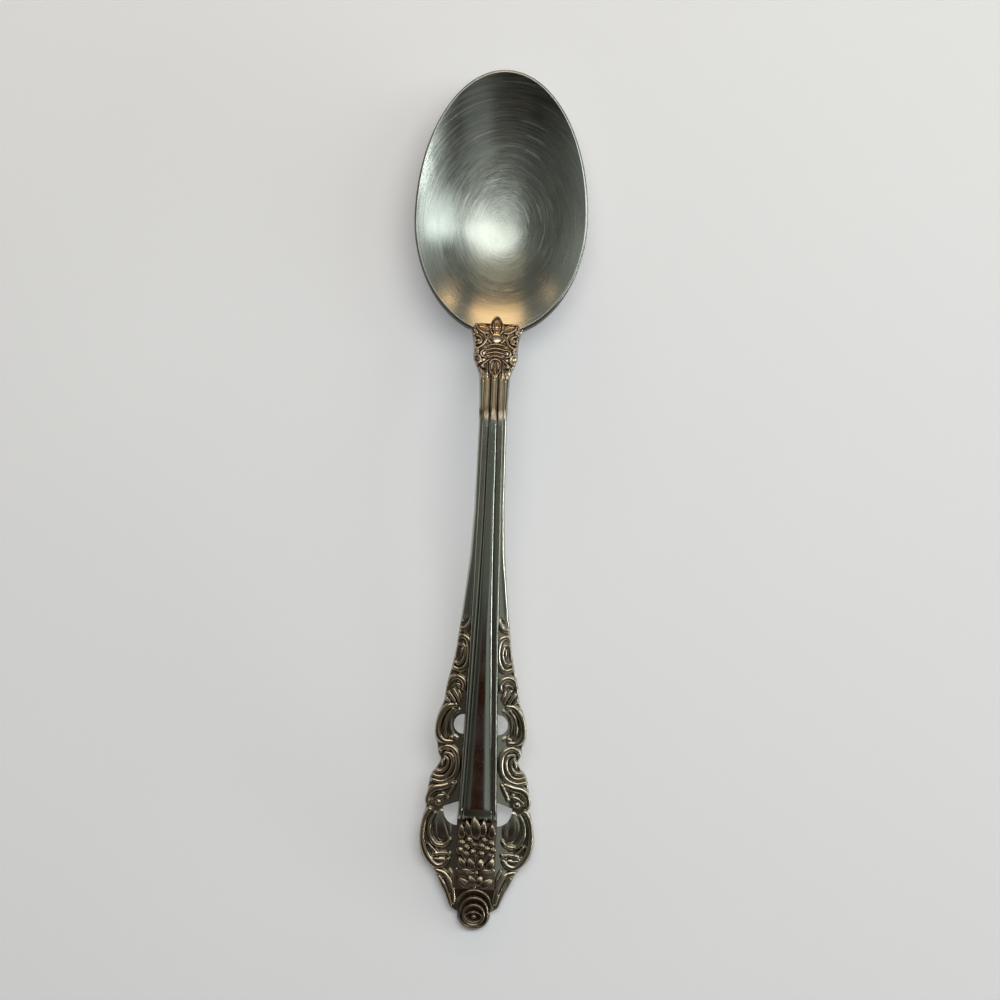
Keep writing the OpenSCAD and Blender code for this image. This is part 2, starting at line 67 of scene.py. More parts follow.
# Stations along the spoon in millimetres, from the bowl's tip down to the end of the handle
Y_BOWL_TIP = end_of("bowl", 1)
Y_NECK = end_of("bowl", 0)
Y_SHANK = end_of("shank", 1)
Y_SPRAY = end_of("shank", 0)
Y_TIP = end_of("spray_plate", 0)
Y_BORDER_END = end_of("right_border", 0)
Y_END = end_of("tip", 0)
Y_BOWL = 67.5
Y_ARCH = 18.8
Y_SCROLL = -27.3
Y_TONGUE = -73.4
STRAIGHT_L = 5.0
BEND_L = 4.4
Y_STRAIGHT = Y_SPRAY + STRAIGHT_L

# Slopes and heights of the rim and of the handle's sheet, and sizes of its edges and piercings
SLOPE_RIM = math.tan(math.radians(3.5))
SLOPE_END = math.tan(math.radians(9))
ARCH_Z = 18.5
END_Z = 1.2
HEEL_T = 3.0
FACE_Z = 0.4
BED_Z = -0.4
TIP_R = 4.0
EDGE_R = 0.5
EDGE_DROP = 0.55
HOLE_R = 2.4
HOLE_Y = -53.1
# The leaf-shaped piercing: its top, the height of its ramp, its width and the height of its round part
LEAF_HOLE = (-71.8, 1.4, 3.6, 4.4)
LEAF_SINK = 0.2
FLORET_LIFT = 0.25
BOWL_RISE = 2.1
BOWL_W = (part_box("bowl")[1].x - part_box("bowl")[0].x) / MM - 0.8

# How brown the plain back is, and how much painted shade darkens the bend to dim its highlight
BACK_TARNISH = 0.35
BEND_PAINTED_SHADE = 0.57

# The ornament is drawn on panels: the neck's lies a little up the spoon, the border's is a little shorter
NECK_SHIFT = 0.3
PANEL_SCROLL = -28.0
PANEL_SPRAY = -77.0
PANEL_TIP = -93.0


# Nodes and links of a tree


def joined(tree, value, slot):
    """Links a field or a socket to a slot, or sets a plain value on it."""
    value = value.socket if isinstance(value, Field) else value
    if isinstance(value, bpy.types.NodeSocket):
        tree.links.new(value, slot)
    else:
        slot.default_value = value


def wired(tree, kind, settings=None, **inputs):
    """A new node with its settings made and its inputs filled by name."""
    node = tree.nodes.new(kind)
    for key, value in (settings or {}).items():
        setattr(node, key, value)
    for key, value in inputs.items():
        name = key.replace("_", " ")
        joined(tree, value, next(slot for slot in node.inputs if slot.name == name and slot.enabled))
    return node


# Arithmetic that works on numbers, on arrays, and on the nodes of a tree


class Field:
    """A number that a node tree works out at each point, written as plain arithmetic."""

    def __init__(self, tree, socket):
        self.tree = tree
        self.socket = socket

    def math(self, operation, values):
        node = wired(self.tree, "ShaderNodeMath", {"operation": operation})
        for slot, value in zip(node.inputs, values):
            joined(self.tree, value if isinstance(value, Field) else float(value), slot)
        return Field(self.tree, node.outputs[0])

    def __neg__(self):
        return self.math("MULTIPLY", (self, -1.0))

    def __add__(self, other):
        return self.math("ADD", (self, other))

    def __sub__(self, other):
        return self.math("SUBTRACT", (self, other))

    def __rsub__(self, other):
        return self.math("SUBTRACT", (other, self))

    def __mul__(self, other):
        return self.math("MULTIPLY", (self, other))

    def __truediv__(self, other):
        return self.math("DIVIDE", (self, other))

    def __rtruediv__(self, other):
        return self.math("DIVIDE", (other, self))

    __radd__ = __add__
    __rmul__ = __mul__


def either(operation, plain):
    """A function that becomes a Math node when it is given a Field."""

    def work(*values):
        field = next((v for v in values if isinstance(v, Field)), None)
        return plain(*values) if field is None else field.math(operation, values)

    return work


larger = either("MAXIMUM", np.maximum)
smaller = either("MINIMUM", np.minimum)
sine = either("SINE", np.sin)
cosine = either("COSINE", np.cos)
arc_cosine = either("ARCCOSINE", np.arccos)
arc_of = either("ARCTAN2", np.arctan2)
power = either("POWER", np.power)
root = either("SQRT", np.sqrt)
length = either("ABSOLUTE", np.abs)
above = either("GREATER_THAN", lambda a, b: np.where(np.asarray(a) > b, 1.0, 0.0))


def clamp01(v):
    return larger(smaller(v, 1.0), 0.0)


def smooth(v):
    v = clamp01(v)
    return v * v * (3.0 - 2.0 * v)


def lerp(a, b, t):
    return a + (b - a) * t


def hermite(t, z0, m0, z1, m1):
    t2 = t * t
    t3 = t2 * t
    return z0 * (2 * t3 - 3 * t2 + 1) + m0 * (t3 - 2 * t2 + t) + z1 * (3 * t2 - 2 * t3) + m1 * (t3 - t2)


# Shape of the spoon, the same rules as the solids


class Sizes:
    """The sizes of the panel, in millimetres."""

    def __init__(self, group):
        # A millimetre in metres, for what is scaled as a whole
        self.millimetre = MM
        for name in group.bl_rna.properties.keys():
            if name not in {"rna_type", "name"}:
                setattr(self, name, getattr(group, name) / MM)


def rim_at(s, y):
    return s.rim_height + (Y_BOWL - y) * SLOPE_RIM


def mid(s, y):
    """Height of the middle of the handle's sheet: a straight rise, a bend, the arch and a straight end."""
    neck_z = rim_at(s, Y_NECK) - HEEL_T / 2
    rise = (ARCH_Z - neck_z) / (Y_NECK - Y_ARCH - BEND_L / 2)
    t = clamp01((y - Y_ARCH) / BEND_L)
    bend = BEND_L * (t * t * t - t * t * t * t / 2.0) + larger(y - Y_ARCH - BEND_L, 0.0)
    up = ARCH_Z - rise * bend
    down = Y_ARCH - Y_STRAIGHT
    straight_z = END_Z + (Y_STRAIGHT - Y_END) * SLOPE_END
    fall = hermite(clamp01((Y_ARCH - y) / down), ARCH_Z, 0.0, straight_z, -down * SLOPE_END)
    run = END_Z + (y - Y_END) * SLOPE_END
    arch, straight = above(Y_ARCH, y), above(Y_STRAIGHT, y)
    return up * (1.0 - arch) + fall * arch * (1.0 - straight) + run * straight


def back_depth(y):
    return lerp(2.0, 1.2, smooth((Y_SHANK - y) / (Y_SHANK - Y_SCROLL)))


def plate_height(across):
    """Height of the spray's plate over the middle of the sheet, at a share of its half width."""
    return FACE_Z + BED_Z + 0.1 + 0.3 * (1.0 - across * across)


def edge_drop(inside):
    """Fall of a rounded edge at a distance inside the outline."""
    q = clamp01(1 - inside / EDGE_R)
    return EDGE_DROP * (1 - np.sqrt(1 - q**2))


def rib_half(s, y):
    along = clamp01((Y_SHANK - y) / (Y_SHANK - Y_SPRAY))
    return lerp(s.rib_width_neck, s.rib_width_spray, power(along, 1.6)) / 2.0


def roundness(y):
    """How round the reeds are: flat along the upper shank, round lower down and beside the neck."""
    return larger(smooth((-8.0 - y) / 25.0), 0.9 * smooth((y - 21.0) / 2.4))


def rib_share(s, u, y):
    """Share of the rib's height at u across it: a crown between two reeds."""
    c = rib_half(s, y)
    low = roundness(y)
    k = 0.7 + 0.25 * smooth((25.0 - y) / 21.0) + 2.55 * power(clamp01((4.0 - y) / 81.0), 1.4)
    v = length(u)
    crown = root(clamp01(1.0 - power(v / (k + 0.1), lerp(4.5, 2.2, low))))
    middle, half = (k + 0.15 + c) / 2.0, (c - k) / 2.0 - 0.1
    reed = root(clamp01(1.0 - power(length(v - middle) / half, lerp(4.0, 2.0, low))))
    fall = root(clamp01((c - v) / 0.3))
    groove = lerp(0.6, 0.4, low)
    return larger(groove + (1.0 - groove) * crown, groove - 0.04 + lerp(0.24, 0.38, low) * reed) * fall


def painted_bend_shade(y):
    """Share of the painted shade that darkens the bend and dims its highlight, and how far up the straight
    rise a point lies.
    """
    rise = smooth((y - 18.4) / 2.4)
    return rise * (1.0 - smooth((y - 21.2) / 2.4)), rise


def rib_top(s, u, y):
    return mid(s, y) + FACE_Z + (s.rib_height - FACE_Z) * rib_share(s, u, y)


def oval(s, a):
    """Reach of the bowl's rim from its middle in direction a: long to the tip, short to the heel."""
    ratio = s.heel_width / s.bowl_width
    heel = (Y_BOWL - Y_NECK) / root(1.0 - ratio * ratio)
    b = lerp(heel, Y_BOWL_TIP - Y_BOWL, smooth((sine(a) + 0.4) / 0.8))
    across, along = cosine(a) / (s.bowl_width / 2), sine(a) / b
    return 1.0 / root(across * across + along * along)


def heelward(s, a, spread):
    """1 towards the neck, falling to 0 over the given angle on each side of it."""
    corner = arc_of(s.heel_width / 2, Y_BOWL - Y_NECK)
    return 1.0 - smooth((arc_cosine(smaller(-sine(a), 1.0)) - corner) / math.radians(spread))


def bowl_roll(s, a):
    """Width and depth of the rim's rounded edge: fine at the tip, thick towards the neck."""
    heel = heelward(s, a, 55)
    return s.rim_width * lerp(1.0, 2.0, heel), lerp(0.5, 2.0, heel)


def bowl_inside(s, a, rho):
    rim = rim_at(s, Y_BOWL + oval(s, a) * sine(a))
    return s.bowl_wall + (rim - s.bowl_wall) * power(rho, BOWL_RISE)


def neck_half(s, y):
    t = (Y_NECK - y) / (Y_NECK - Y_SHANK)
    waist = s.neck_width / 2
    flange = rib_half(s, Y_SHANK) + 1.2
    flare = 1.1 * clamp01(1 - t / 0.45) ** 2.2
    return waist + flare - (waist - flange) * smooth((t - 0.55) / 0.45)


def neck_top(s, y):
    y = smaller(y, Y_NECK)
    return mid(s, y) + lerp(HEEL_T / 2, FACE_Z + 0.9, smooth((Y_NECK - y) / (Y_NECK - Y_SHANK)))


def neck_back(s, y):
    y = smaller(y, Y_NECK)
    return mid(s, y) - lerp(HEEL_T / 2, 2.0, smooth((Y_NECK - y) / (Y_NECK - Y_SHANK)))


def drawn(y):
    """Where a point of the handle lies on the panel that its scrolls are drawn on."""
    top = PANEL_SCROLL + (y - Y_SCROLL) * (PANEL_SCROLL - PANEL_SPRAY) / (Y_SCROLL - Y_SPRAY)
    low = PANEL_SPRAY + (y - Y_SPRAY) * (PANEL_SPRAY - PANEL_TIP) / (Y_SPRAY - Y_TIP)
    return np.where(y > Y_SPRAY, top, np.where(y > Y_TIP, low, y))


# Reach of the plain flange beyond the rib, by its share of the way from the neck to the scrolls
FLANGE_REACH = [(0, 1.2), (0.15, 0.8), (0.55, 0.8), (0.75, 1.2), (1, 2.32)]
# Outer edge of the scrolls in (y, x)
SCROLL_EDGE = [
    (-28, 5.7), (-32, 6.15), (-36, 6.65), (-40, 7.45), (-44, 8.45), (-48, 9), (-50, 9.8), (-52, 10.5),
    (-54.5, 10.9), (-56.5, 10.9), (-58.5, 10.3), (-60.5, 10), (-62.3, 9.35), (-64, 10.2), (-66, 11.5),
    (-68, 11.9), (-70, 12.2), (-72, 12.7), (-73.8, 12.45), (-75.5, 12.95), (-78, 13.5), (-81, 13.75),
    (-84, 13.4), (-86, 12.6), (-88, 10.7), (-89.5, 9.65), (-92, 8.5), (-94, 7.45), (-96, 6.6),
    (-97.4, 5.9), (-98.4, 4.6),
]


def inner_edge(s, y):
    """Inner edge of a border: the rib, then the spray, then the flank of the tip."""
    tip = lerp(s.rib_width_spray / 2, TIP_R, clamp01((Y_TIP - y) / (Y_TIP - Y_BORDER_END)))
    return np.where(y > Y_TIP, rib_half(s, y), tip)


def piercing(y):
    """How far the piercings push the border's inner edge out from the rib."""
    top, ramp, wide, low = LEAF_HOLE
    ball = np.sqrt(np.clip(HOLE_R**2 - (y - HOLE_Y) ** 2, 0, None))
    down = top - ramp - y
    leaf = np.where(down > 0, wide * np.sqrt(clamp01(1 - (down / low) ** 2)), wide * clamp01(1 + down / ramp))
    return ball + np.where(down < low, leaf, 0)


def outer_edge(s, y):
    edge = spline(SCROLL_EDGE, 8)
    flange = np.interp((Y_SHANK - y) / (Y_SHANK - Y_SCROLL), *zip(*FLANGE_REACH))
    return np.where(y > Y_SCROLL, rib_half(s, y) + flange, np.interp(-drawn(y), -edge[:, 0], edge[:, 1]))


# Relief: rounded beads along strokes of (half width, height, points), right of the axis


def spline(points, steps):
    """Points along a smooth curve through the given ones."""
    p = np.array(points, float)
    p = np.vstack([2 * p[0] - p[1], p, 2 * p[-1] - p[-2]])
    out = []
    for k in range(1, len(p) - 2):
        for t in np.arange(steps) / steps:
            a = -t + 2 * t * t - t**3
            b = 2 - 5 * t * t + 3 * t**3
            c = t + 4 * t * t - 3 * t**3
            out.append((a * p[k - 1] + b * p[k] + c * p[k + 1] + (t**3 - t * t) * p[k + 2]) / 2)
    return np.array(out + [p[-2]])


def beads(x, y, strokes, fullness=0.5):
    """Greatest height of the beads at each point."""
    top = np.zeros_like(x)
    for half, height, points in strokes:
        path = spline(points, 6)
        swell = 0.6 + 0.4 * np.sin(np.pi * np.linspace(0.06, 0.94, len(path))) ** 0.7
        low, high = path.min(0) - half, path.max(0) + half
        near = (x > low[0]) & (x < high[0]) & (y > low[1]) & (y < high[1])
        px, py, best = x[near], y[near], top[near]
        for k in range(len(path) - 1):
            a, d = path[k], path[k + 1] - path[k]
            t = clamp01(((px - a[0]) * d[0] + (py - a[1]) * d[1]) / (d @ d))
            away = np.hypot(px - a[0] - t * d[0], py - a[1] - t * d[1])
            share = lerp(swell[k], swell[k + 1], t)
            bead = clamp01(1 - (away / (half * share)) ** 2) ** fullness
            best = np.maximum(best, height * share**0.5 * bead)
        top[near] = best
    return top


def berries(x, y, rounds):
    """Round bosses of (x, y, radius, height)."""
    top = np.zeros_like(x)
    for bx, by, r, h in rounds:
        top = np.maximum(top, h * np.sqrt(clamp01(1 - ((x - bx) ** 2 + (y - by) ** 2) / r**2)))
    return top


def blurred(height, reach):
    """Mean over a square of neighbours."""
    for axis in (0, 1):
        pad = [(reach + 1, reach) if k == axis else (0, 0) for k in (0, 1)]
        run = np.cumsum(np.pad(height, pad, mode="edge"), axis=axis)
        n = height.shape[axis]
        take = np.arange(n)
        height = (run.take(take + 2 * reach + 1, axis) - run.take(take, axis)) / (2 * reach + 1)
    return height


def hollows(height, reach, depth):
    """0 on the ridges and 1 in the valleys, by how far a point lies under its neighbours."""
    return clamp01(0.15 + (blurred(height, reach) - height) / depth)


SCROLLS = [
    # End of the flange, and the hook round it
    (1.2, 0.75, [(4.3, -25.0), (4.6, -26.8), (4.8, -28.4)]),
    (0.75, 0.8, [(2.9, -26.4), (3.3, -29.0), (4.2, -30.7), (5.2, -31.1), (6.1, -30.9)]),
    # Oval shell: a cup, a ring inside it and an eye
    (0.85, 0.95, [(6.3, -33.2), (5.2, -32.7), (4.1, -33.2), (3.5, -34.6), (3.35, -36.6), (3.6, -38.7),
                  (4.4, -40.2), (5.7, -40.7), (7, -40.2)]),
    (0.6, 0.85, [(6.0, -34.7), (5.0, -34.7), (4.5, -35.7), (4.45, -37.2), (4.9, -38.6), (6.0, -39.2),
                 (6.9, -38.8)]),
    (0.45, 0.9, [(5.2, -35.6), (5.25, -37.4)]),
    (0.45, 0.8, [(6.35, -35.2), (6.5, -37.8)]),
    # Arch over the fan
    (0.8, 0.95, [(4.4, -45.3), (4.25, -44.0), (5.0, -42.8), (6.3, -42.4), (7.5, -43.0), (8.1, -44.2)]),
    (0.5, 0.75, [(5.3, -45.0), (5.6, -44.3), (6.4, -44.1), (7.1, -44.5)]),
    # Rays of the fan
    (0.5, 0.75, [(5.6, -45.6), (4.8, -47.6)]),
    (0.55, 0.85, [(6.8, -45.3), (5.3, -48.3)]),
    (0.6, 0.9, [(7.8, -46.2), (6.3, -48.6)]),
    (0.5, 0.8, [(8.6, -47.3), (7.4, -48.7)]),
    # Tall arch and the ridge inside it, beside the round piercing
    (0.95, 0.95, [(6.2, -49.1), (7.9, -49.5), (9.3, -51.2), (10.1, -53.3), (10.3, -55.2), (9.7, -57.0),
                  (8.4, -57.9), (7, -57.9)]),
    (0.65, 0.85, [(6.8, -50.1), (7.9, -51.8), (8.4, -53.6), (8.4, -55.5), (8.0, -56.7)]),
    # Double scroll under the tall arch
    (0.8, 0.95, [(9.7, -60.6), (8.9, -59.6), (7.7, -59.1), (6.4, -59.6), (5.5, -60.8), (5.15, -62.6),
                 (5.3, -64.4), (6, -66), (7.4, -67.1), (9.2, -67.6), (11, -67.2)]),
    (0.68, 0.9, [(8.2, -60.6), (6.9, -61.0), (6.3, -62.6), (6.7, -64.6), (8.0, -66.1), (9.7, -66.4),
                 (11.0, -65.9)]),
    (0.6, 0.85, [(8.2, -61.5), (7.5, -62.5), (7.8, -64.1), (8.9, -65.1), (10.1, -64.9)]),
    (0.5, 0.85, [(8.4, -62.2), (8.7, -63.6)]),
    # Leaf with a turned edge, and the tendril beside it
    (1.0, 0.9, [(6.4, -67.9), (8.3, -68.7), (10.5, -69.2), (12.0, -70.7), (12.1, -72.6)]),
    (0.7, 0.7, [(8.4, -70.8), (9.6, -71.3), (10.9, -72.4)]),
    (0.6, 0.8, [(5.5, -67.8), (6.4, -69.6), (7.3, -71.3)]),
    # Great loop round the lower piercing: its rim, the ridge inside it, the smooth leaf and the curls below
    (0.9, 0.95, [(11.4, -74.3), (12.6, -76.4), (13.1, -79.0), (13.0, -81.8), (12.2, -84.4), (10.9, -86.5),
                 (9.3, -87.7), (7.7, -87.3), (6.7, -86.1)]),
    (0.65, 0.9, [(10.2, -75.2), (11.1, -77.0), (11.4, -79.2), (10.9, -81.2), (9.8, -82.5), (8.3, -82.8),
                 (6.9, -82.2), (6.3, -81.4)]),
    (0.6, 0.85, [(11.3, -82.7), (10.3, -83.8), (9.2, -84.7), (7.9, -84.6), (6.6, -84.7)]),
    (1.1, 0.8, [(10.3, -85.9), (9.0, -86.4), (7.9, -86.2)]),
    # Long leaves beside the tip
    (1.05, 0.95, [(9.2, -88.9), (7.6, -89.6), (6.3, -91.6), (5.5, -94.0), (5.1, -96.2)]),
    (0.8, 0.85, [(8.6, -90.4), (7.4, -92.4), (6.4, -94.8), (5.6, -97.4)]),
    (0.5, 0.6, [(6.2, -88.4), (5.5, -89.8), (5.1, -91.8)]),
]
# Low, smooth swellings of the bed: round the piercing, and the leaf in the great loop
SCROLL_PADS = [
    (0.6, 0.35, [(5.4, -50.3), (6.6, -51.2), (7.2, -52.8), (7.2, -54.7), (6.6, -56.3), (5.6, -57.0)]),
    (2.2, 0.45, [(8.2, -75.8), (8.3, -78.2), (7.9, -80.2)]),
]
SCROLL_BERRIES = [
    (6.9, -57.0, 0.75, 0.9), (9.3, -60.3, 0.6, 0.95), (9.4, -72.6, 0.95, 0.95), (7.2, -71.3, 0.6, 0.85),
    (9.6, -85.0, 0.95, 1.0), (6.4, -84.7, 0.65, 0.85), (4.6, -45.3, 0.5, 0.8), (11.4, -74.4, 0.8, 0.95),
]
# Slots and flutes cut into the leaves
SCROLL_FLUTES = [
    (0.25, 0.12, [(6.6, -80.6), (7.2, -78.6), (8.0, -76.4)]),
    (0.25, 0.12, [(9.2, -80.6), (9.5, -78.8), (9.4, -76.8)]),
    (0.2, 0.35, [(8.9, -85.7), (9.6, -85.6), (10.3, -85.8)]),
    (0.22, 0.5, [(7.4, -90.4), (6.5, -92.2), (5.9, -94.0)]),
    (0.24, 0.5, [(8.2, -69.6), (9.6, -70.3), (10.8, -71.6)]),
]

# Leaves on the neck: a petal and two sepals over the bowl's heel, a boss, stacked arcs and a drop
NECK_EDGE = [
    (0, 44.5), (0.4, 44.4), (0.8, 44.05), (1.2, 43.4), (1.5, 42.7), (1.75, 42.0), (2.0, 42.0), (2.6, 42.3),
    (3.6, 42.55), (4.6, 42.6), (5.15, 42.5), (5.35, 42.0), (5.7, 41.5), (6.4, 41.2),
]
NECK_STROKES = [
    (0.3, 0.55, [(0, 44.35), (0.9, 43.7), (1.45, 42.4), (1.4, 41.0), (1.0, 40.1)]),
    (0.24, 0.4, [(0, 43.4), (0.6, 42.8), (0.8, 41.6), (0.5, 40.3)]),
    (0.5, 0.3, [(0, 43.0), (0, 40.6)]),
    (0.28, 0.5, [(1.9, 41.9), (3.4, 42.35), (5.0, 42.35), (5.25, 41.2)]),
    (0.36, 0.65, [(4.7, 41.9), (4.2, 41.0), (3.0, 40.3), (1.8, 40.2)]),
    (0.4, 0.7, [(5.2, 41.0), (4.6, 40.3), (5.4, 39.9)]),
    (0.34, 0.55, [(2.0, 39.7), (1.9, 38.6), (1.2, 37.9)]),
    (0.4, 0.65, [(2.9, 39.9), (2.4, 38.8), (3.1, 37.4), (4.3, 36.6)]),
    (0.4, 0.7, [(4.6, 39.6), (3.6, 39.0), (3.7, 37.9), (4.8, 37.5)]),
    (0.3, 0.55, [(5.0, 39.0), (4.9, 38.2)]),
    (0.26, 0.6, [(-2.2, 37.2), (0, 37.6), (2.2, 37.2)]),
    (0.28, 0.65, [(-2.5, 36.1), (0, 36.6), (2.5, 36.1)]),
    (0.28, 0.65, [(-2.4, 35.2), (0, 35.7), (2.4, 35.2)]),
    (0.26, 0.6, [(-1.9, 34.3), (0, 34.8), (1.9, 34.3)]),
    (0.4, 0.75, [(4.8, 36.9), (4.2, 36.1), (4.6, 35.3)]),
    (0.36, 0.65, [(2.8, 36.2), (3.5, 35.6), (3.2, 34.7), (2.3, 34.4)]),
    (0.4, 0.7, [(4.9, 34.9), (3.9, 34.7), (3.5, 33.7), (4.2, 32.9), (4.8, 33.4)]),
    (0.3, 0.6, [(1.6, 33.9), (2.4, 33.2), (3.2, 32.4), (4.0, 31.4)]),
    (0.3, 0.65, [(-1.4, 33.0), (-0.8, 33.8), (0, 34.0), (0.8, 33.8), (1.4, 33.0)]),
    (0.28, 0.7, [(1.35, 33.2), (1.25, 31.6), (0.7, 30.4), (0, 29.8)]),
    (0.42, 0.65, [(0, 33.0), (0, 31.9), (0, 30.9)]),
    (0.3, 0.6, [(1.9, 33.0), (1.8, 31.2), (1.9, 29.4)]),
    (0.3, 0.5, [(3.6, 31.9), (3.0, 30.6), (2.9, 29.2)]),
]
NECK_BERRIES = [(0, 39.0, 1.35, 0.5), (2.85, 32.1, 0.5, 0.7), (4.3, 35.4, 0.45, 0.7), (4.2, 38.4, 0.5, 0.6)]

# Stepped arcs at the very end, each (middle, radius, height), and the ring and berry of the lens below them
TIP_STEPS = [(-97.4, 4.5, 0.4), (-98.3, 3.6, 0.65), (-99.3, 2.9, 0.85)]
TIP_STROKES = [
    (0.3, 0.95, [(-2.3, -99.7), (-1.1, -98.8), (0, -98.5), (1.1, -98.8), (2.3, -99.7)]),
    (0.34, 1.0, [(-2.3, -99.7), (-1.2, -100.7), (0, -101.0), (1.2, -100.7), (2.3, -99.7)]),
    (0.5, 0.7, [(-3.4, -98.8), (-3.1, -100.7), (-1.9, -101.9), (0, -102.3), (1.9, -101.9), (3.1, -100.7),
                (3.4, -98.8)]),
]
TIP_BERRIES = [(0, -99.7, 0.7, 0.85)]

# Stems on the spray's plate, then its leaves from foot to tip in (x, y, x, y, width, height), and its florets
SPRAY_STROKES = [
    (0.3, 0.3, [(0, -92.6), (0, -89.0), (0, -85.0)]),
    (0.3, 0.3, [(0, -88.5), (2.2, -86.6), (4.2, -83.6)]),
    (0.3, 0.3, [(0, -89.0), (2.4, -89.4), (4.4, -88.4)]),
]
SPRAY_LEAVES = [
    (0.2, -81.4, -0.8, -74.6, 3.0, 1.5), (-1.4, -80.8, -2.6, -75.7, 2.0, 1.3),
    (1.5, -80.8, 1.7, -75.6, 2.0, 1.3), (-3.4, -81.2, -3.7, -76.6, 2.0, 1.2),
    (3.6, -81.2, 3.7, -76.4, 2.1, 1.2), (-2.4, -88.6, -4.2, -84.6, 2.1, 1.2),
    (-0.3, -88.8, -1.8, -84.7, 2.1, 1.3), (0.5, -88.6, 1.6, -84.9, 2.1, 1.3),
    (2.8, -88.6, 4.4, -84.8, 2.1, 1.2), (-0.3, -88.9, -4.5, -88.3, 2.0, 1.2),
    (0.4, -88.9, 4.6, -88.4, 2.0, 1.2), (-0.8, -92.7, -4.5, -89.9, 2.4, 1.2),
    (0.1, -92.5, -1.6, -89.0, 2.0, 1.2), (1.0, -92.7, 4.6, -90.0, 2.4, 1.2),
    (0.4, -92.5, 1.7, -89.1, 2.0, 1.2),
]
FLORETS = [
    (-3.5, -81.7), (-1.8, -81.0), (1.9, -81.0), (3.4, -81.6), (-0.5, -82.2), (1.1, -82.3), (-2.4, -82.7),
    (2.5, -83.0), (-3.8, -83.5), (4.0, -83.3), (-0.8, -83.9), (-2.4, -84.4), (1.2, -84.2), (3.4, -84.6),
]


# Mesh and node helpers


def new_piece(name, mesh):
    piece = bpy.data.objects.new(name, mesh)
    bpy.context.scene.collection.objects.link(piece)
    return piece


def points_of(mesh):
    """The mesh's points in millimetres, as rows of x, y and z."""
    points = np.zeros(len(mesh.vertices) * 3, np.float32)
    mesh.vertices.foreach_get("co", points)
    return points.reshape(-1, 3).T.astype(float) / MM


def marked(mesh, **values):
    """Keeps values at the mesh's points, for its finish to read."""
    for key, value in values.items():
        attribute = mesh.attributes.new(key, "FLOAT", "POINT")
        attribute.data.foreach_set("value", value.astype(np.float32))


def outward(mesh):
    """Turns a closed mesh's faces outwards and shades it smooth, with sharp edges where walls meet."""
    mesh.validate()
    mesh.calc_loop_triangles()
    corners = np.zeros(len(mesh.loop_triangles) * 3, np.int32)
    mesh.loop_triangles.foreach_get("vertices", corners)
    a, b, c = points_of(mesh).T[corners.reshape(-1, 3)].transpose(1, 0, 2)
    if np.einsum("ij,ij->i", a, np.cross(b, c)).sum() < 0:
        mesh.flip_normals()
    mesh.polygons.foreach_set("use_smooth", np.ones(len(mesh.polygons), bool))
    mesh.set_sharp_from_angle(angle=math.radians(70))
    mesh.update()
    return mesh


def place(piece, slot, *nodes):
    """Puts a finished piece in the place of its solids."""
    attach(piece, "root")
    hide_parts(*nodes)


def face_and_back(x, y, top, low, pick):
    """Rings of points over a face, then under the picked columns of it."""
    return np.concatenate([np.stack([x, y, top], -1), np.stack([x, y, low], -1)[:, pick]], 1)


def place_relief(name, rings, values, looks, slot, *nodes):
    """Makes a closed piece of the handle through rings of points in millimetres.

    The values cover the face of each ring, and the back gets BACK_TARNISH for each value.
    """
    m, n = rings.shape[:2]
    points = np.vstack([rings.reshape(-1, 3), rings[0].mean(0), rings[-1].mean(0)]) * MM
    index = np.arange(m * n).reshape(m, n)
    turned = np.roll(index, -1, axis=1)
    quads = np.stack([index[:-1], turned[:-1], turned[1:], index[1:]], -1).reshape(-1, 4)
    first = [(m * n, b, a) for a, b in zip(index[0].tolist(), turned[0].tolist())]
    last = [(m * n + 1, a, b) for a, b in zip(index[-1].tolist(), turned[-1].tolist())]
    mesh = bpy.data.meshes.new(name)
    mesh.from_pydata(points.tolist(), [], quads.tolist() + first + last)
    for key, value in values.items():
        value = np.pad(value, ((0, 0), (0, n - value.shape[1])), constant_values=BACK_TARNISH)
        marked(mesh, **{key: np.append(value, [value[0].mean(), value[-1].mean()])})
    mesh.materials.append(handle_finish(looks))
    place(new_piece(name, outward(mesh)), slot, *nodes)


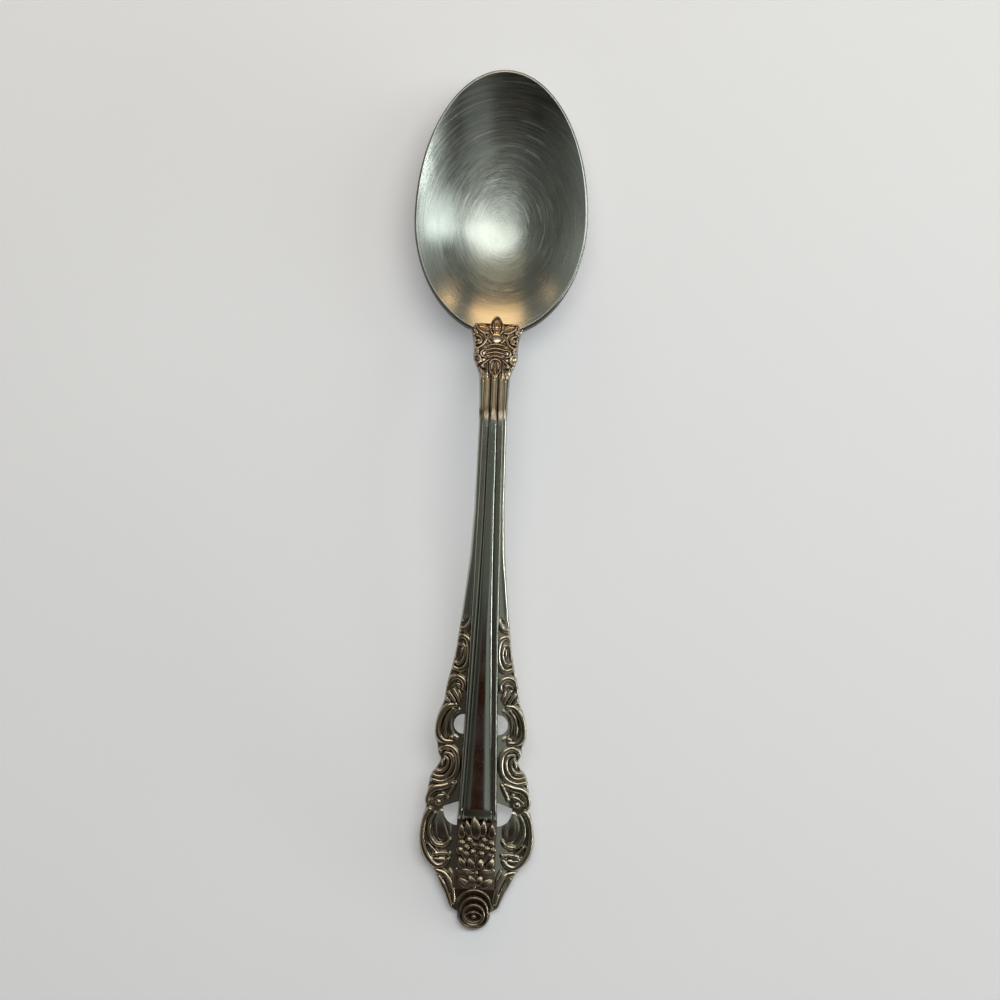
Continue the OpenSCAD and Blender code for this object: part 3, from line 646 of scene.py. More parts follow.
class Tree:
    """A geometry tree under construction, with some of the sizes as its named inputs."""

    def __init__(self, name, sizes, *names):
        self.tree = bpy.data.node_groups.new(name, "GeometryNodeTree")
        face = self.tree.interface
        face.new_socket("Geometry", in_out="INPUT", socket_type="NodeSocketGeometry")
        face.new_socket("Geometry", in_out="OUTPUT", socket_type="NodeSocketGeometry")
        labels = [key.replace("_", " ").capitalize() for key in names]
        self.values = {}
        for key, label in zip(names, labels):
            item = face.new_socket(label, in_out="INPUT", socket_type="NodeSocketFloat")
            item.default_value = getattr(sizes, key)
            self.values[item.identifier] = float(getattr(sizes, key))
        self.inside = self.add("NodeGroupInput")
        self.sizes = copy.copy(sizes)
        for key, label in zip(names, labels):
            setattr(self.sizes, key, Field(self.tree, self.inside.outputs[label]))

    def add(self, kind, settings=None, **inputs):
        return wired(self.tree, kind, settings, **inputs)

    def sheet(self, columns, rows):
        """A unit grid, and its two coordinates from 0 to 1."""
        grid = self.add("GeometryNodeMeshGrid", Size_X=1.0, Size_Y=1.0, Vertices_X=columns, Vertices_Y=rows)
        split = self.add("ShaderNodeSeparateXYZ", Vector=self.add("GeometryNodeInputPosition").outputs[0])
        s, t = (Field(self.tree, split.outputs[k]) + 0.5 for k in (0, 1))
        return grid.outputs["Mesh"], s, t

    def shaped(self, mesh, x, y, z, scale=MM):
        """Moves the grid to its shape and closes its seam and poles."""
        at = self.add("ShaderNodeCombineXYZ", X=x * scale, Y=y * scale, Z=z * scale)
        moved = self.add("GeometryNodeSetPosition", Geometry=mesh, Position=at.outputs[0])
        closed = self.add("GeometryNodeMergeByDistance", Geometry=moved.outputs[0], Distance=0.002 * scale)
        return self.add("GeometryNodeSetShadeSmooth", Geometry=closed.outputs[0]).outputs[0]

    def keep(self, mesh, key, value):
        kind = {"data_type": "FLOAT", "domain": "POINT"}
        node = self.add("GeometryNodeStoreNamedAttribute", kind, Geometry=mesh, Name=key, Value=value)
        return node.outputs[0]

    def end(self, mesh, material):
        real = self.add("GeometryNodeRealizeInstances", Geometry=mesh)
        finish = self.add("GeometryNodeSetMaterial", Geometry=real.outputs[0], Material=material)
        out = self.add("NodeGroupOutput")
        self.tree.links.new(finish.outputs[0], out.inputs[0])

    def made(self, name, base):
        """Runs the tree on a base mesh and keeps the result as a plain mesh."""
        piece = new_piece(name, base)
        modifier = piece.modifiers.new(name, "NODES")
        modifier.node_group = self.tree
        for identifier, value in self.values.items():
            modifier[identifier] = value
        bpy.context.view_layer.update()
        graph = bpy.context.evaluated_depsgraph_get()
        mesh = bpy.data.meshes.new_from_object(piece.evaluated_get(graph))
        if not mesh.polygons:
            raise RuntimeError(name + " came out empty")
        piece.modifiers.clear()
        piece.data = outward(mesh)
        mesh.name = name
        bpy.data.meshes.remove(base)
        return piece


# Finishes


class Finish:
    """A metal material under construction."""

    def __init__(self, name):
        self.material = bpy.data.materials.new(name)
        self.material.use_nodes = True
        self.tree = self.material.node_tree
        self.surface = self.tree.nodes["Principled BSDF"]
        self.surface.inputs["Metallic"].default_value = 1.0
        self.coords = self.tree.nodes.new("ShaderNodeTexCoord").outputs["Object"]

    def node(self, kind, settings=None, **inputs):
        return wired(self.tree, kind, settings, **inputs)

    def attribute(self, key):
        return Field(self.tree, self.node("ShaderNodeAttribute", {"attribute_name": key}).outputs["Fac"])

    def colour(self, a, b, share):
        return blended(self.tree, a, b, share)

    def give(self, socket, value):
        joined(self.tree, value, self.surface.inputs[socket])

    def bump(self, height, distance, strength):
        node = self.node("ShaderNodeBump", Strength=strength, Distance=distance, Height=height)
        self.give("Normal", node.outputs[0])


def blended(tree, a, b, share):
    """A colour between two others."""
    node = wired(tree, "ShaderNodeMix", {"data_type": "RGBA"})
    joined(tree, share, node.inputs[0])
    for slot, colour in zip(node.inputs[6:8], (a, b)):
        joined(tree, colour if isinstance(colour, bpy.types.NodeSocket) else (*colour, 1.0), slot)
    return node.outputs[2]


def stretched(tree, coords, scale):
    """Object coordinates in millimetres, scaled along each axis."""
    node = wired(tree, "ShaderNodeMapping", Vector=coords)
    node.inputs["Scale"].default_value = [v / MM for v in scale]
    return node.outputs[0]


def noise(tree, vector, detail=3.0, rough=0.6):
    node = wired(tree, "ShaderNodeTexNoise", Vector=vector, Scale=1.0, Detail=detail, Roughness=rough)
    return Field(tree, node.outputs["Fac"])


def shared_group(name, inputs, outputs, build):
    """Builds a shader group once, and gives it back after that."""
    if name in bpy.data.node_groups:
        return bpy.data.node_groups[name]
    tree = bpy.data.node_groups.new(name, "ShaderNodeTree")
    for key, kind in inputs:
        tree.interface.new_socket(key, in_out="INPUT", socket_type=kind)
    for key, kind in outputs:
        tree.interface.new_socket(key, in_out="OUTPUT", socket_type=kind)
    inside, out = tree.nodes.new("NodeGroupInput"), tree.nodes.new("NodeGroupOutput")
    for key, value in build(tree, inside.outputs).items():
        joined(tree, value, out.inputs[key])
    return tree


def smudges():
    """Soft smudges and pinpoint pits, which every part of the spoon has."""

    def build(tree, given):
        soft = noise(tree, stretched(tree, given["Position"], (0.12, 0.12, 0.12)), 2.0)
        pits = noise(tree, stretched(tree, given["Position"], (3.4, 2.6, 3.0)), 1.0)
        return {"Smudge": smooth((soft - 0.3) / 0.4), "Pits": smooth((pits - 0.68) / 0.08)}

    return shared_group(
        "Smudges and pits",
        [("Position", "NodeSocketVector")],
        [("Smudge", "NodeSocketFloat"), ("Pits", "NodeSocketFloat")],
        build,
    )


def patina_and_shade():
    """Brown tarnishing that stays in the hollows and is rubbed off the ridges; the darkening in the hollows is
    partly painted shade.
    """

    def build(tree, given):
        hollow, age = (Field(tree, given[key]) for key in ("Hollow", "Age"))
        patchy = noise(tree, stretched(tree, given["Position"], (0.7, 0.5, 0.7)), 3.0)
        # How far a point lies in a hollow darkens it: partly tarnishing, partly painted shade.
        deep = smooth((hollow + 0.5 * (patchy - 0.5) - 0.22) / 0.5)
        warm = blended(tree, given["Metal"], given["Aged metal"], age)
        return {
            "Colour": blended(tree, warm, given["Tarnish"], deep * age),
            "Depth": deep * age,
        }

    return shared_group(
        "Patina_and_shade",
        [
            ("Position", "NodeSocketVector"), ("Hollow", "NodeSocketFloat"), ("Age", "NodeSocketFloat"),
            ("Metal", "NodeSocketColor"), ("Aged metal", "NodeSocketColor"), ("Tarnish", "NodeSocketColor"),
        ],
        [("Colour", "NodeSocketColor"), ("Depth", "NodeSocketFloat")],
        build,
    )


def grouped(finish, tree, **inputs):
    return finish.node("ShaderNodeGroup", {"node_tree": tree}, Position=finish.coords, **inputs)


def bowl_finish(looks):
    """Satin steel with fine scratches that run round the bowl; some scratch arcs have a painted glint, and the
    rim's outer roll has painted shade.
    """
    if "bowl_satin" in bpy.data.materials:
        return bpy.data.materials["bowl_satin"]
    f = Finish("bowl_satin")
    split = f.node("ShaderNodeSeparateXYZ", Vector=stretched(f.tree, f.coords, (1, 1, 1)))
    x, y = (Field(f.tree, split.outputs[k]) for k in (0, 1))
    swirl_x, swirl_y, squash = 1.0, 66.0, 0.78
    dx, dy = x - swirl_x, (y - swirl_y) * squash
    r = larger(root(dx * dx + dy * dy), 0.01)

    def rings(turns, fineness, offset, detail):
        at = f.node("ShaderNodeCombineXYZ", X=dx / r * turns + offset, Y=dy / r * turns, Z=r * fineness)
        return noise(f.tree, at.outputs[0], detail)

    fine = rings(2.6, 4.5, 0.0, 3.0)
    broad = rings(1.4, 1.1, 7.0, 2.0)
    glinting_scratch = smooth((rings(1.3, 2.6, 15.0, 0.0) - 0.74) / 0.05)
    forward = lerp(0.35, 1.0, smooth((y - 50.0) / 16.0))
    marks = forward * (fine - 0.5) * 1.6 + (broad - 0.5) * 0.6
    smudge = grouped(f, smudges())
    steel = looks.bowl_steel
    shade = f.colour([v * 0.72 for v in steel], [min(v * 1.28, 1) for v in steel], clamp01(marks + 0.5))
    # The lone scratch arcs are real marks in the bump and roughness, but their lighter colour is a painted
    # glint.
    scratched_with_glints = f.colour(shade, [min(v * 1.7, 1) for v in steel], glinting_scratch * 0.5)
    # The edge value paints shade over the rim's outer roll in the deep brown colour.
    f.give("Base Color", f.colour(scratched_with_glints, looks.tarnish_and_shade, f.attribute("edge") * 0.85))
    smear = Field(f.tree, smudge.outputs["Smudge"])
    polish = looks.bowl_roughness * lerp(0.9, 1.0, forward) - 0.02 * smooth((y - 72.0) / 14.0)
    f.give("Roughness", clamp01(polish + 0.14 * marks + 0.05 * smear + 0.1 * glinting_scratch))
    f.surface.inputs["Anisotropic"].default_value = 0.3
    f.give("Tangent", f.node("ShaderNodeCombineXYZ", X=dx / r, Y=dy / r * squash, Z=0.0).outputs[0])
    f.bump(forward * fine + 0.6 * glinting_scratch + 0.25 * broad, 0.00002, 0.5)
    return f.material


def handle_finish(looks):
    """Bright steel along the shank that turns to brown, tarnished steel in the ornament, with painted shade in
    the hollows and over the bend, and a painted warm reflection up the rise to the neck.
    """
    if "handle_aged" in bpy.data.materials:
        return bpy.data.materials["handle_aged"]
    f = Finish("handle_aged")
    # The hollowness value is tarnishing and painted shade; the aged share is wear and also painted shade and
    # painted warm reflection.
    age = f.attribute("age")
    colours = {
        "Metal": (*looks.handle_steel, 1.0),
        "Aged_metal": (*looks.aged_steel, 1.0),
        "Tarnish": (*looks.tarnish_and_shade, 1.0),
    }
    aged = grouped(f, patina_and_shade(), Age=age, Hollow=f.attribute("hollow"), **colours)
    smudge = grouped(f, smudges())
    pits = Field(f.tree, smudge.outputs["Pits"])
    smear = Field(f.tree, smudge.outputs["Smudge"])
    streaks = noise(f.tree, stretched(f.tree, f.coords, (5.0, 0.1, 1.0)), 3.0)
    colour = aged.outputs["Colour"]
    dim = f.node("ShaderNodeBrightContrast", Color=colour, Bright=(streaks - 0.5) * 0.1, Contrast=0.0)
    f.give("Base Color", dim.outputs[0])
    dull = 0.08 * age + 0.1 * Field(f.tree, aged.outputs["Depth"]) + 0.08 * smear + 0.1 * (streaks - 0.5)
    f.give("Roughness", clamp01(looks.handle_roughness + dull))
    f.bump(streaks * 0.5 + pits + 0.6 * age * smear, 0.00002, 0.4)
    return f.material


# What a user would change


def size(name, description, millimetres):
    return FloatProperty(
        name=name, description=description, default=millimetres * MM,
        unit="LENGTH", subtype="DISTANCE", precision=5,
    )


def tint(name, description, default):
    return FloatVectorProperty(
        name=name, description=description, default=default, subtype="COLOR", min=0, max=1
    )


def dullness(name, description, default):
    return FloatProperty(name=name, description=description, default=default, min=0, max=1, subtype="FACTOR")


class SpoonSizes(bpy.types.PropertyGroup):
    """Sizes of the spoon's pieces"""

    bowl_width: size("Bowl width", "Across the rim of the bowl", BOWL_W)
    bowl_wall: size("Bowl wall", "Thickness of the bowl's floor", 1.8)
    rim_height: size("Rim height", "Height of the rim at the middle of the bowl", 11.0)
    rim_width: size("Rim width", "Width of the rim's rounded edge at the tip", 0.55)
    heel_width: size("Heel width", "Width of the bowl where it meets the neck", 14.6)
    neck_width: size("Neck width", "Width of the neck at its waist", 10.6)
    rib_width_neck: size("Rib width at the neck", "Width of the shank's rib at the neck", 5.0)
    rib_width_spray: size("Rib width at the spray", "Width of the shank's rib at the flower spray", 9.6)
    rib_height: size("Rib height", "Height of the rib's crown over the middle of the sheet", 1.8)
    relief: size("Relief", "Height of a full bead of the scrolls", 1.0)
    leaf_relief: size("Leaf relief", "Height of a full leaf on the neck", 0.95)
    floret_radius: size("Floret radius", "Radius of a floret in the spray", 1.0)
    floret_height: size("Floret height", "Height of a floret in the spray", 1.05)


class SpoonLooks(bpy.types.PropertyGroup):
    """Colours and polish of the metal"""

    bowl_steel: tint("Bowl steel", "Colour of the bowl's satin steel", (0.33, 0.35, 0.325))
    handle_steel: tint("Handle steel", "Colour of the bright steel along the shank", (0.45, 0.475, 0.42))
    # The aged colour is partly the ornament's own rubbed brown and partly a painted warm reflection: up the
    # rise to the neck, and more on the left border than on the right.
    aged_steel: tint("Aged steel", "Colour of the rubbed steel on the ornament's ridges", (0.42, 0.345, 0.26))
    # This deep brown is partly the tarnishing in the ornament's hollows and partly painted shade: in the
    # hollows, over the bend of the shank and on the bowl's outer rim.
    tarnish_and_shade: tint("Tarnish", "Colour of the tarnish in the ornament's hollows", (0.07, 0.05, 0.036))
    bowl_roughness: dullness("Bowl roughness", "How satin the bowl is", 0.25)
    handle_roughness: dullness("Handle roughness", "How dull the shank is", 0.09)


class SpoonStage(bpy.types.PropertyGroup):
    """Floor, lamps and camera"""

    floor_colour: tint("Floor", "Colour of the pale floor", (0.95, 0.955, 1.0))
    floor_glow: tint("Floor glow", "Light that the floor itself adds where it is seen", (0.093, 0.096, 0.113))
    lamp_level: FloatProperty(
        name="Lamp level", description="Strength of all the lamps together",
        default=1.0, min=0, subtype="FACTOR", soft_max=2,
    )
    camera_height: FloatProperty(
        name="Camera height", description="Height of the camera over the floor",
        default=0.908, unit="LENGTH", subtype="DISTANCE",
    )


class PieceOperator:
    """What the operators of the spoon's pieces share."""

    bl_options = {"REGISTER", "UNDO"}

    def given(self, context):
        return Sizes(context.scene.spoon_sizes), context.scene.spoon_looks


class SPOON_OT_bowl(PieceOperator, bpy.types.Operator):
    """Makes the bowl: an egg-shaped shell with a rounded rim, whose heel runs into the neck"""

    bl_idname = "spoon.bowl"
    bl_label = "Bowl"

    def execute(self, context):
        s, looks = self.given(context)
        t = Tree("Bowl shell", s, "bowl_width", "bowl_wall", "rim_height", "rim_width", "heel_width")
        s = t.sizes
        mesh, around, profile = t.sheet(321, 161)
        a = around * (2 * math.pi)
        # The profile runs up the inside, over the lip and down the outside
        lip_from, lip_to = 0.45, 0.57
        inner = sine(clamp01(profile / lip_from) * (math.pi / 2))
        lip = clamp01((profile - lip_from) / (lip_to - lip_from)) * (math.pi / 2)
        outer = cosine(clamp01((profile - lip_to) / (1.0 - lip_to)) * (math.pi / 2))
        roll, depth = bowl_roll(s, a)
        r = inner * outer * (oval(s, a) - roll * (1.0 - sine(lip)))
        inside = bowl_inside(s, a, inner) - depth * (1.0 - cosine(lip))
        z = inside * power(outer, lerp(2.3, 1.5, heelward(s, a, 90)))
        # Painted shade: a band over the rim's outer roll is darkened with the deep brown colour of the looks,
        # where the outer wall turns away; the band is kept as the edge value.
        dark_from = lerp(0.5, 0.462, heelward(s, a, 55))
        painted_rim_shade = smooth((profile - dark_from) / 0.02) * smooth((0.66 - profile) / 0.06)
        mesh = t.keep(mesh, "edge", painted_rim_shade)
        shell = t.shaped(mesh, r * cosine(a), Y_BOWL + r * sine(a), z)
        t.end(shell, bowl_finish(looks))
        piece = t.made("bowl_shell", bpy.data.meshes.new("bowl_base"))
        place(piece, "satin_steel", "bowl")
        return {"FINISHED"}


class SPOON_OT_shank(PieceOperator, bpy.types.Operator):
    """Makes the shank's rib: a crown between two reeds, swept over the arch to the spray"""

    bl_idname = "spoon.shank"
    bl_label = "Shank"

    def execute(self, context):
        s, looks = self.given(context)
        t = Tree("Shank rib", s, "rib_width_neck", "rib_width_spray", "rib_height")
        rows = 243
        mesh, around, along = t.sheet(151, rows)
        y = lerp(Y_SHANK, Y_SPRAY, clamp01((along * (rows - 1) - 1.0) / (rows - 3)))
        c = rib_half(t.sizes, y)
        # The section runs over the top, down the right side, along the back and up the left side
        top_to, right_to, back_to = 0.8, 0.84, 0.96
        down = clamp01((around - top_to) / (right_to - top_to))
        under = clamp01((around - right_to) / (back_to - right_to))
        up = clamp01((around - back_to) / (1.0 - back_to))
        u = c * (smaller(around / (top_to / 2), 2.0) - 1.0 - 2.0 * under)
        side = u / c
        past = clamp01((Y_TONGUE - y) / (Y_TONGUE - Y_SPRAY))
        tongue = clamp01(1.0 - past * past * (1.0 + 0.5 * side * side))
        rib = FACE_Z + (t.sizes.rib_height - FACE_Z) * rib_share(t.sizes, u, y)
        top = lerp(plate_height(side), rib, tongue)
        height = lerp(top, 0.0 - back_depth(y), down * (1.0 - up))
        # The first and the last row shrink to a point, which closes the ends
        edge = 0.5 / (rows - 1)
        open_row = above(along, edge) * above(1.0 - edge, along)
        shell = t.shaped(mesh, u * open_row, y, mid(s, y) + height * open_row)
        t.end(shell, handle_finish(looks))
        piece = t.made("shank_rib", bpy.data.meshes.new("shank_base"))
        x, y, z = points_of(piece.data)
        low = roundness(y)
        deep = clamp01((lerp(0.9, 0.62, low) - rib_share(s, x, y)) / 0.2)
        valley = deep * lerp(0.8, 1, low) * above(z, mid(s, y))
        # Painted light: the bend is darkened as painted shade over its highlight, the rise to the neck gets
        # the golden aged colour as a painted warm reflection, and the grooves between the reeds darken partly
        # as tarnishing, partly as painted shade.
        bend, rise = painted_bend_shade(y)
        hollow = np.maximum(valley, lerp(0.26 * rise, BEND_PAINTED_SHADE, bend))
        marked(piece.data, hollow=hollow, age=clamp01(0.5 * valley + lerp(0.8 * rise, 1, bend)))
        place(piece, "bright_steel", "shank")
        return {"FINISHED"}


class SPOON_OT_neck(PieceOperator, bpy.types.Operator):
    """Makes the neck, whose petal and sepals lie over the heel of the bowl"""

    bl_idname = "spoon.neck"
    bl_label = "Neck and its leaves"

    def execute(self, context):
        s, looks = self.given(context)
        across = np.linspace(-1, 1, 181)
        crest = np.interp(np.abs(across) * neck_half(s, Y_NECK), *zip(*NECK_EDGE)) - NECK_SHIFT
        rows = np.concatenate([[0], np.linspace(0.004, 1, 140)])
        y = lerp(crest[None, :], Y_SHANK, rows[:, None])
        x = across[None, :] * neck_half(s, np.minimum(y, Y_NECK))
        a = np.arctan2(y - Y_BOWL, x)
        roll, _ = bowl_roll(s, a)
        rho = smaller(np.hypot(x, y - Y_BOWL) / (oval(s, a) - roll), 1.0)
        wall = bowl_inside(s, a, rho)
        # The ground of the leaves goes from the bowl's wall over the neck to the shank's reeds
        rim = lerp(wall, neck_top(s, y), smooth((43.0 - y) / 3.4))
        aside, half = np.abs(x), rib_half(s, y)
        flange = mid(s, y) + FACE_Z - 0.25 * clamp01((aside - half) / 1.2) ** 1.5
        reeds = np.where(aside < half, rib_top(s, x, y), flange)
        floor = lerp(rim, reeds, smooth((32.5 - y) / 3.0))
        carved = smooth((y - Y_SHANK) / 1.6)
        up = y + NECK_SHIFT
        relief = np.maximum(beads(aside, up, NECK_STROKES), berries(aside, up, NECK_BERRIES)) * s.leaf_relief
        leaf = smooth((5.5 - aside) / 0.5) * smooth((y - 33.0) / 3.0)
        relief = relief * carved + 0.22 * leaf - 0.18 * carved * (1 - leaf) * smooth((5.6 - aside) / 0.6)
        # The crest over the bowl is rounded, and the sides turn down
        depth = clamp01((crest[None, :] - y) / 0.4)
        rise = np.sqrt(1 - (1 - depth) ** 2)
        q = clamp01((np.abs(across[None, :]) - 0.72) / 0.28) * np.ones_like(y)
        turned = 1.1 * (1 - np.sqrt(1 - q**2)) * smooth((Y_NECK + 0.4 - y) / 1.2)
        top = lerp(wall - 0.12, floor + relief, rise) - turned
        # The leaves darken in their hollows, partly as tarnishing, partly as painted shade.
        hollow = hollows(relief * rise, 4, 0.32)
        # The back has fewer columns and is drawn in at its sides
        inner_wall = lerp(neck_back(s, Y_NECK), wall - 0.5, smooth((y - Y_NECK) / 0.5))
        flat = np.where(y > Y_NECK, inner_wall, neck_back(s, y))
        pick = [180, 155, 120, 90, 60, 25, 0]
        under = np.stack([x, y, flat], -1)[:, pick]
        side = np.stack([x, y, lerp(flat, top, 0.4)], -1)[:, [180, 0]]
        under[:, 0, 0] *= 0.86
        under[:, -1, 0] *= 0.86
        rings = np.concatenate([np.stack([x, y, top], -1), side[:, :1], under, side[:, 1:]], 1)
        values = {"hollow": hollow, "age": np.ones_like(y)}
        place_relief("neck_leaves_relief", rings, values, looks, "dark_steel", "neck", "neck_leaves")
        return {"FINISHED"}


class SPOON_OT_borders(PieceOperator, bpy.types.Operator):
    """Makes the two pierced borders with their scrolls, one the mirror of the other"""

    bl_idname = "spoon.borders"
    bl_label = "Borders and their scrolls"

    def stations(self):
        top, ramp, _, low = LEAF_HOLE
        turn = np.cos(np.linspace(0, np.pi, 49))
        quarter = np.sin(np.linspace(0, np.pi / 2, 31))
        y = np.concatenate([
            np.linspace(Y_SHANK, Y_SCROLL + 2, 48),
            np.arange(Y_SCROLL + 2, Y_BORDER_END, -0.14),
            HOLE_Y + HOLE_R * turn,
            top - ramp - low * quarter,
            np.arange(Y_ARCH - 1, Y_ARCH + BEND_L + 1, 0.2),
            [top, Y_BORDER_END],
        ])
        y = np.sort(y)[::-1]
        return y[np.append(True, -np.diff(y) > 0.004)]

    def execute(self, context):
        s, looks = self.given(context)
        stations = self.stations()
        columns = np.linspace(0, 1, 88)
        y = np.repeat(stations[:, None], len(columns), 1)
        base, outer = inner_edge(s, y), outer_edge(s, y)
        inner = base + piercing(y)
        wide = np.maximum(outer - inner, 0.2)
        x = inner + wide * columns
        scrolled = smooth((Y_SCROLL + 0.5 - y) / 2.0)
        v = clamp01((x - base) / (outer - base))
        flange = -lerp(0.4, 0.85, smooth((8 - y) / 24)) * v**1.6
        panel = drawn(y)
        raised = np.maximum(beads(x, panel, SCROLLS), berries(x, panel, SCROLL_BERRIES))
        formed = np.maximum(raised, beads(x, panel, SCROLL_PADS))
        carved = BED_Z + (formed - beads(x, panel, SCROLL_FLUTES, 1.0)) * s.relief
        crown = 0.25 * np.minimum(x - base, 2.8)
        relief = lerp(flange, carved - crown, scrolled)
        sheet = mid(s, y)
        low = sheet - back_depth(y)
        top = sheet + FACE_Z + relief - edge_drop(outer - x)
        # The bend gets the same painted shade as the shank, and the hollows darken partly as tarnishing,
        # partly as painted shade.
        bend, _ = painted_bend_shade(y)
        hollow = np.maximum(hollows(relief, 4, 0.3), BEND_PAINTED_SHADE * bend)
        age = np.maximum(lerp(0.1, lerp(0.4, 1.0, smooth(raised / 0.35)), scrolled), bend)
        # The outer wall and the back have fewer columns than the face
        edge, face, foot = outer[:, :1], top[:, -1:], low[:, :1]
        wall_z = lerp(foot, face, np.array([0.7, 0.35]))
        tuck = smaller(0.7, wide[:, :1] * 0.4)
        share = np.linspace(0, 1, 7)
        back_x = lerp(edge - tuck, inner[:, :1], share)
        back_z = foot + 0.12 * np.sin(np.pi * share)
        xs = np.concatenate([x, edge, edge, back_x], 1)
        zs = np.concatenate([top, wall_z, back_z], 1)
        ys = np.repeat(stations[:, None], xs.shape[1], 1)
        back_age = np.repeat(BACK_TARNISH * age[:, :1], xs.shape[1] - len(columns), 1)
        # The left border gets more of the aged colour than the right: a painted warm reflection on the left
        # side.
        for side, way, painted_side_warmth in (("right", 1, 0.7), ("left", -1, 1.0)):
            rings = np.stack([way * xs, ys, zs], -1)
            values = {"hollow": hollow, "age": np.concatenate([age, back_age], 1) * painted_side_warmth}
            nodes = side + "_border", side + "_scrolls"
            place_relief(side + "_border_relief", rings, values, looks, "bright_steel", *nodes)
        return {"FINISHED"}


class SPOON_OT_spray(PieceOperator, bpy.types.Operator):
    """Makes the flower spray: a plate with stems, leaves that reach over the end of the rib, and florets"""

    bl_idname = "spoon.spray"
    bl_label = "Flower spray"

    def leaf(self, t):
        """A pointed leaf one unit long with a grooved middle, flat underneath."""
        mesh, around, along = t.sheet(25, 17)
        turn = around * (2 * math.pi)
        wide = power(sine(clamp01(power(along, 0.85)) * math.pi), 0.8)
        x = cosine(turn) * wide * 0.5
        arch = power(larger(sine(along * math.pi), 0.0), 0.6)
        groove = clamp01(1.0 - length(cosine(turn)) / 0.3) * 0.1
        up = larger(sine(turn), 0.0)
        z = arch * (root(up) - groove * above(up, 0.01)) + smaller(sine(turn), 0.0) * 0.4 * arch
        return t.shaped(mesh, x, along, z, 1.0)

    def floret(self, t):
        """A floret of five petals round a raised eye, one unit in radius and height."""
        mesh, around, along = t.sheet(41, 15)
        turn = around * (2 * math.pi)
        ray = clamp01(along / 0.85)
        petal = 0.5 + 0.5 * cosine(turn * 5.0)
        r = sine(ray * (math.pi / 2)) * (0.96 + 0.04 * petal) * (1.0 - clamp01((along - 0.85) / 0.15))
        eye = larger(1.0 - ray * ray * 12.0, 0.0)
        dome = cosine(ray * (math.pi / 2))
        z = 0.8 * power(larger(dome, 0.0), 0.6) * (0.95 + 0.05 * petal) + 0.06 * root(eye)
        z = z - 0.25 * above(along, 0.86)
        return t.shaped(mesh, r * cosine(turn), r * sine(turn), z, 1.0)

    def planted(self, node, shape, s, points, turns, scales, finish):
        """Copies of a shape on points, turned and scaled by the points' own values."""
        name = node + "_relief"
        base = bpy.data.meshes.new(name + "_points")
        base.from_pydata([tuple(v * MM for v in p) for p in points], [], [])
        t = Tree(name, s, "millimetre")
        read = {}
        for key, vectors in (("turn", turns), ("scale", scales)):
            attribute = base.attributes.new(key, "FLOAT_VECTOR", "POINT")
            attribute.data.foreach_set("vector", np.array(vectors, np.float32).ravel())
            reader = t.add("GeometryNodeInputNamedAttribute", {"data_type": "FLOAT_VECTOR"}, Name=key)
            read[key] = reader.outputs[0]
        spin = t.add("FunctionNodeEulerToRotation", Euler=read["turn"])
        grow = t.add(
            "ShaderNodeVectorMath", {"operation": "SCALE"}, Vector=read["scale"], Scale=t.sizes.millimetre
        )
        stand = t.add(
            "GeometryNodeInstanceOnPoints", Points=t.inside.outputs["Geometry"], Instance=shape(t),
            Rotation=spin.outputs[0], Scale=grow.outputs[0],
        )
        t.end(stand.outputs[0], finish)
        piece = t.made(name, base)
        _, y, z = points_of(piece.data)
        # Florets and leaves darken towards their feet and stay lighter at their tops: painted shade, with some
        # tarnishing.
        hollow = np.clip(1.0 - (z - mid(s, y) - FACE_Z), 0.45, 1.0)
        marked(piece.data, hollow=hollow, age=np.ones_like(hollow))
        place(piece, "dark_steel", node)

    def execute(self, context):
        s, looks = self.given(context)
        stations = np.linspace(Y_SPRAY, Y_TIP, 110)
        across = np.linspace(-1, 1, 97)
        y = np.repeat(stations[:, None], len(across), 1)
        x = across * s.rib_width_spray / 2 * np.ones_like(y)
        raised = beads(np.abs(x), drawn(y), SPRAY_STROKES) + plate_height(across)
        sheet = mid(s, y)
        rings = face_and_back(x, y, sheet + raised, sheet - back_depth(y), [96, 72, 48, 24, 0])
        hollow = 0.2 + 0.15 * clamp01((FACE_Z - raised) / 0.4)
        values = {"hollow": hollow, "age": np.full(rings.shape[:2], 0.6)}
        place_relief("spray_plate_relief", rings, values, looks, "dark_steel", "spray_plate")

        finish = handle_finish(looks)
        feet, turns, scales = [], [], []
        for fx, fy, tx, ty, wide, high in SPRAY_LEAVES:
            run = math.hypot(tx - fx, ty - fy)
            over_rib = 0.9 if ty > Y_SPRAY - 0.5 else 0.0
            lift = mid(s, ty) - mid(s, fy) + over_rib
            feet.append((fx, fy, mid(s, fy) + FACE_Z - LEAF_SINK))
            turns.append((math.atan2(lift, run), 0, math.atan2(fx - tx, ty - fy)))
            scales.append((wide, run, high))
        self.planted("spray_leaves", self.leaf, s, feet, turns, scales, finish)
        spots = [(fx, fy, mid(s, fy) + FACE_Z + FLORET_LIFT) for fx, fy in FLORETS]
        spins = [(math.radians(5), 0, 0.7 * k) for k in range(len(FLORETS))]
        grown = [(s.floret_radius, s.floret_radius, s.floret_height)] * len(FLORETS)
        self.planted("florets", self.floret, s, spots, spins, grown, finish)
        return {"FINISHED"}


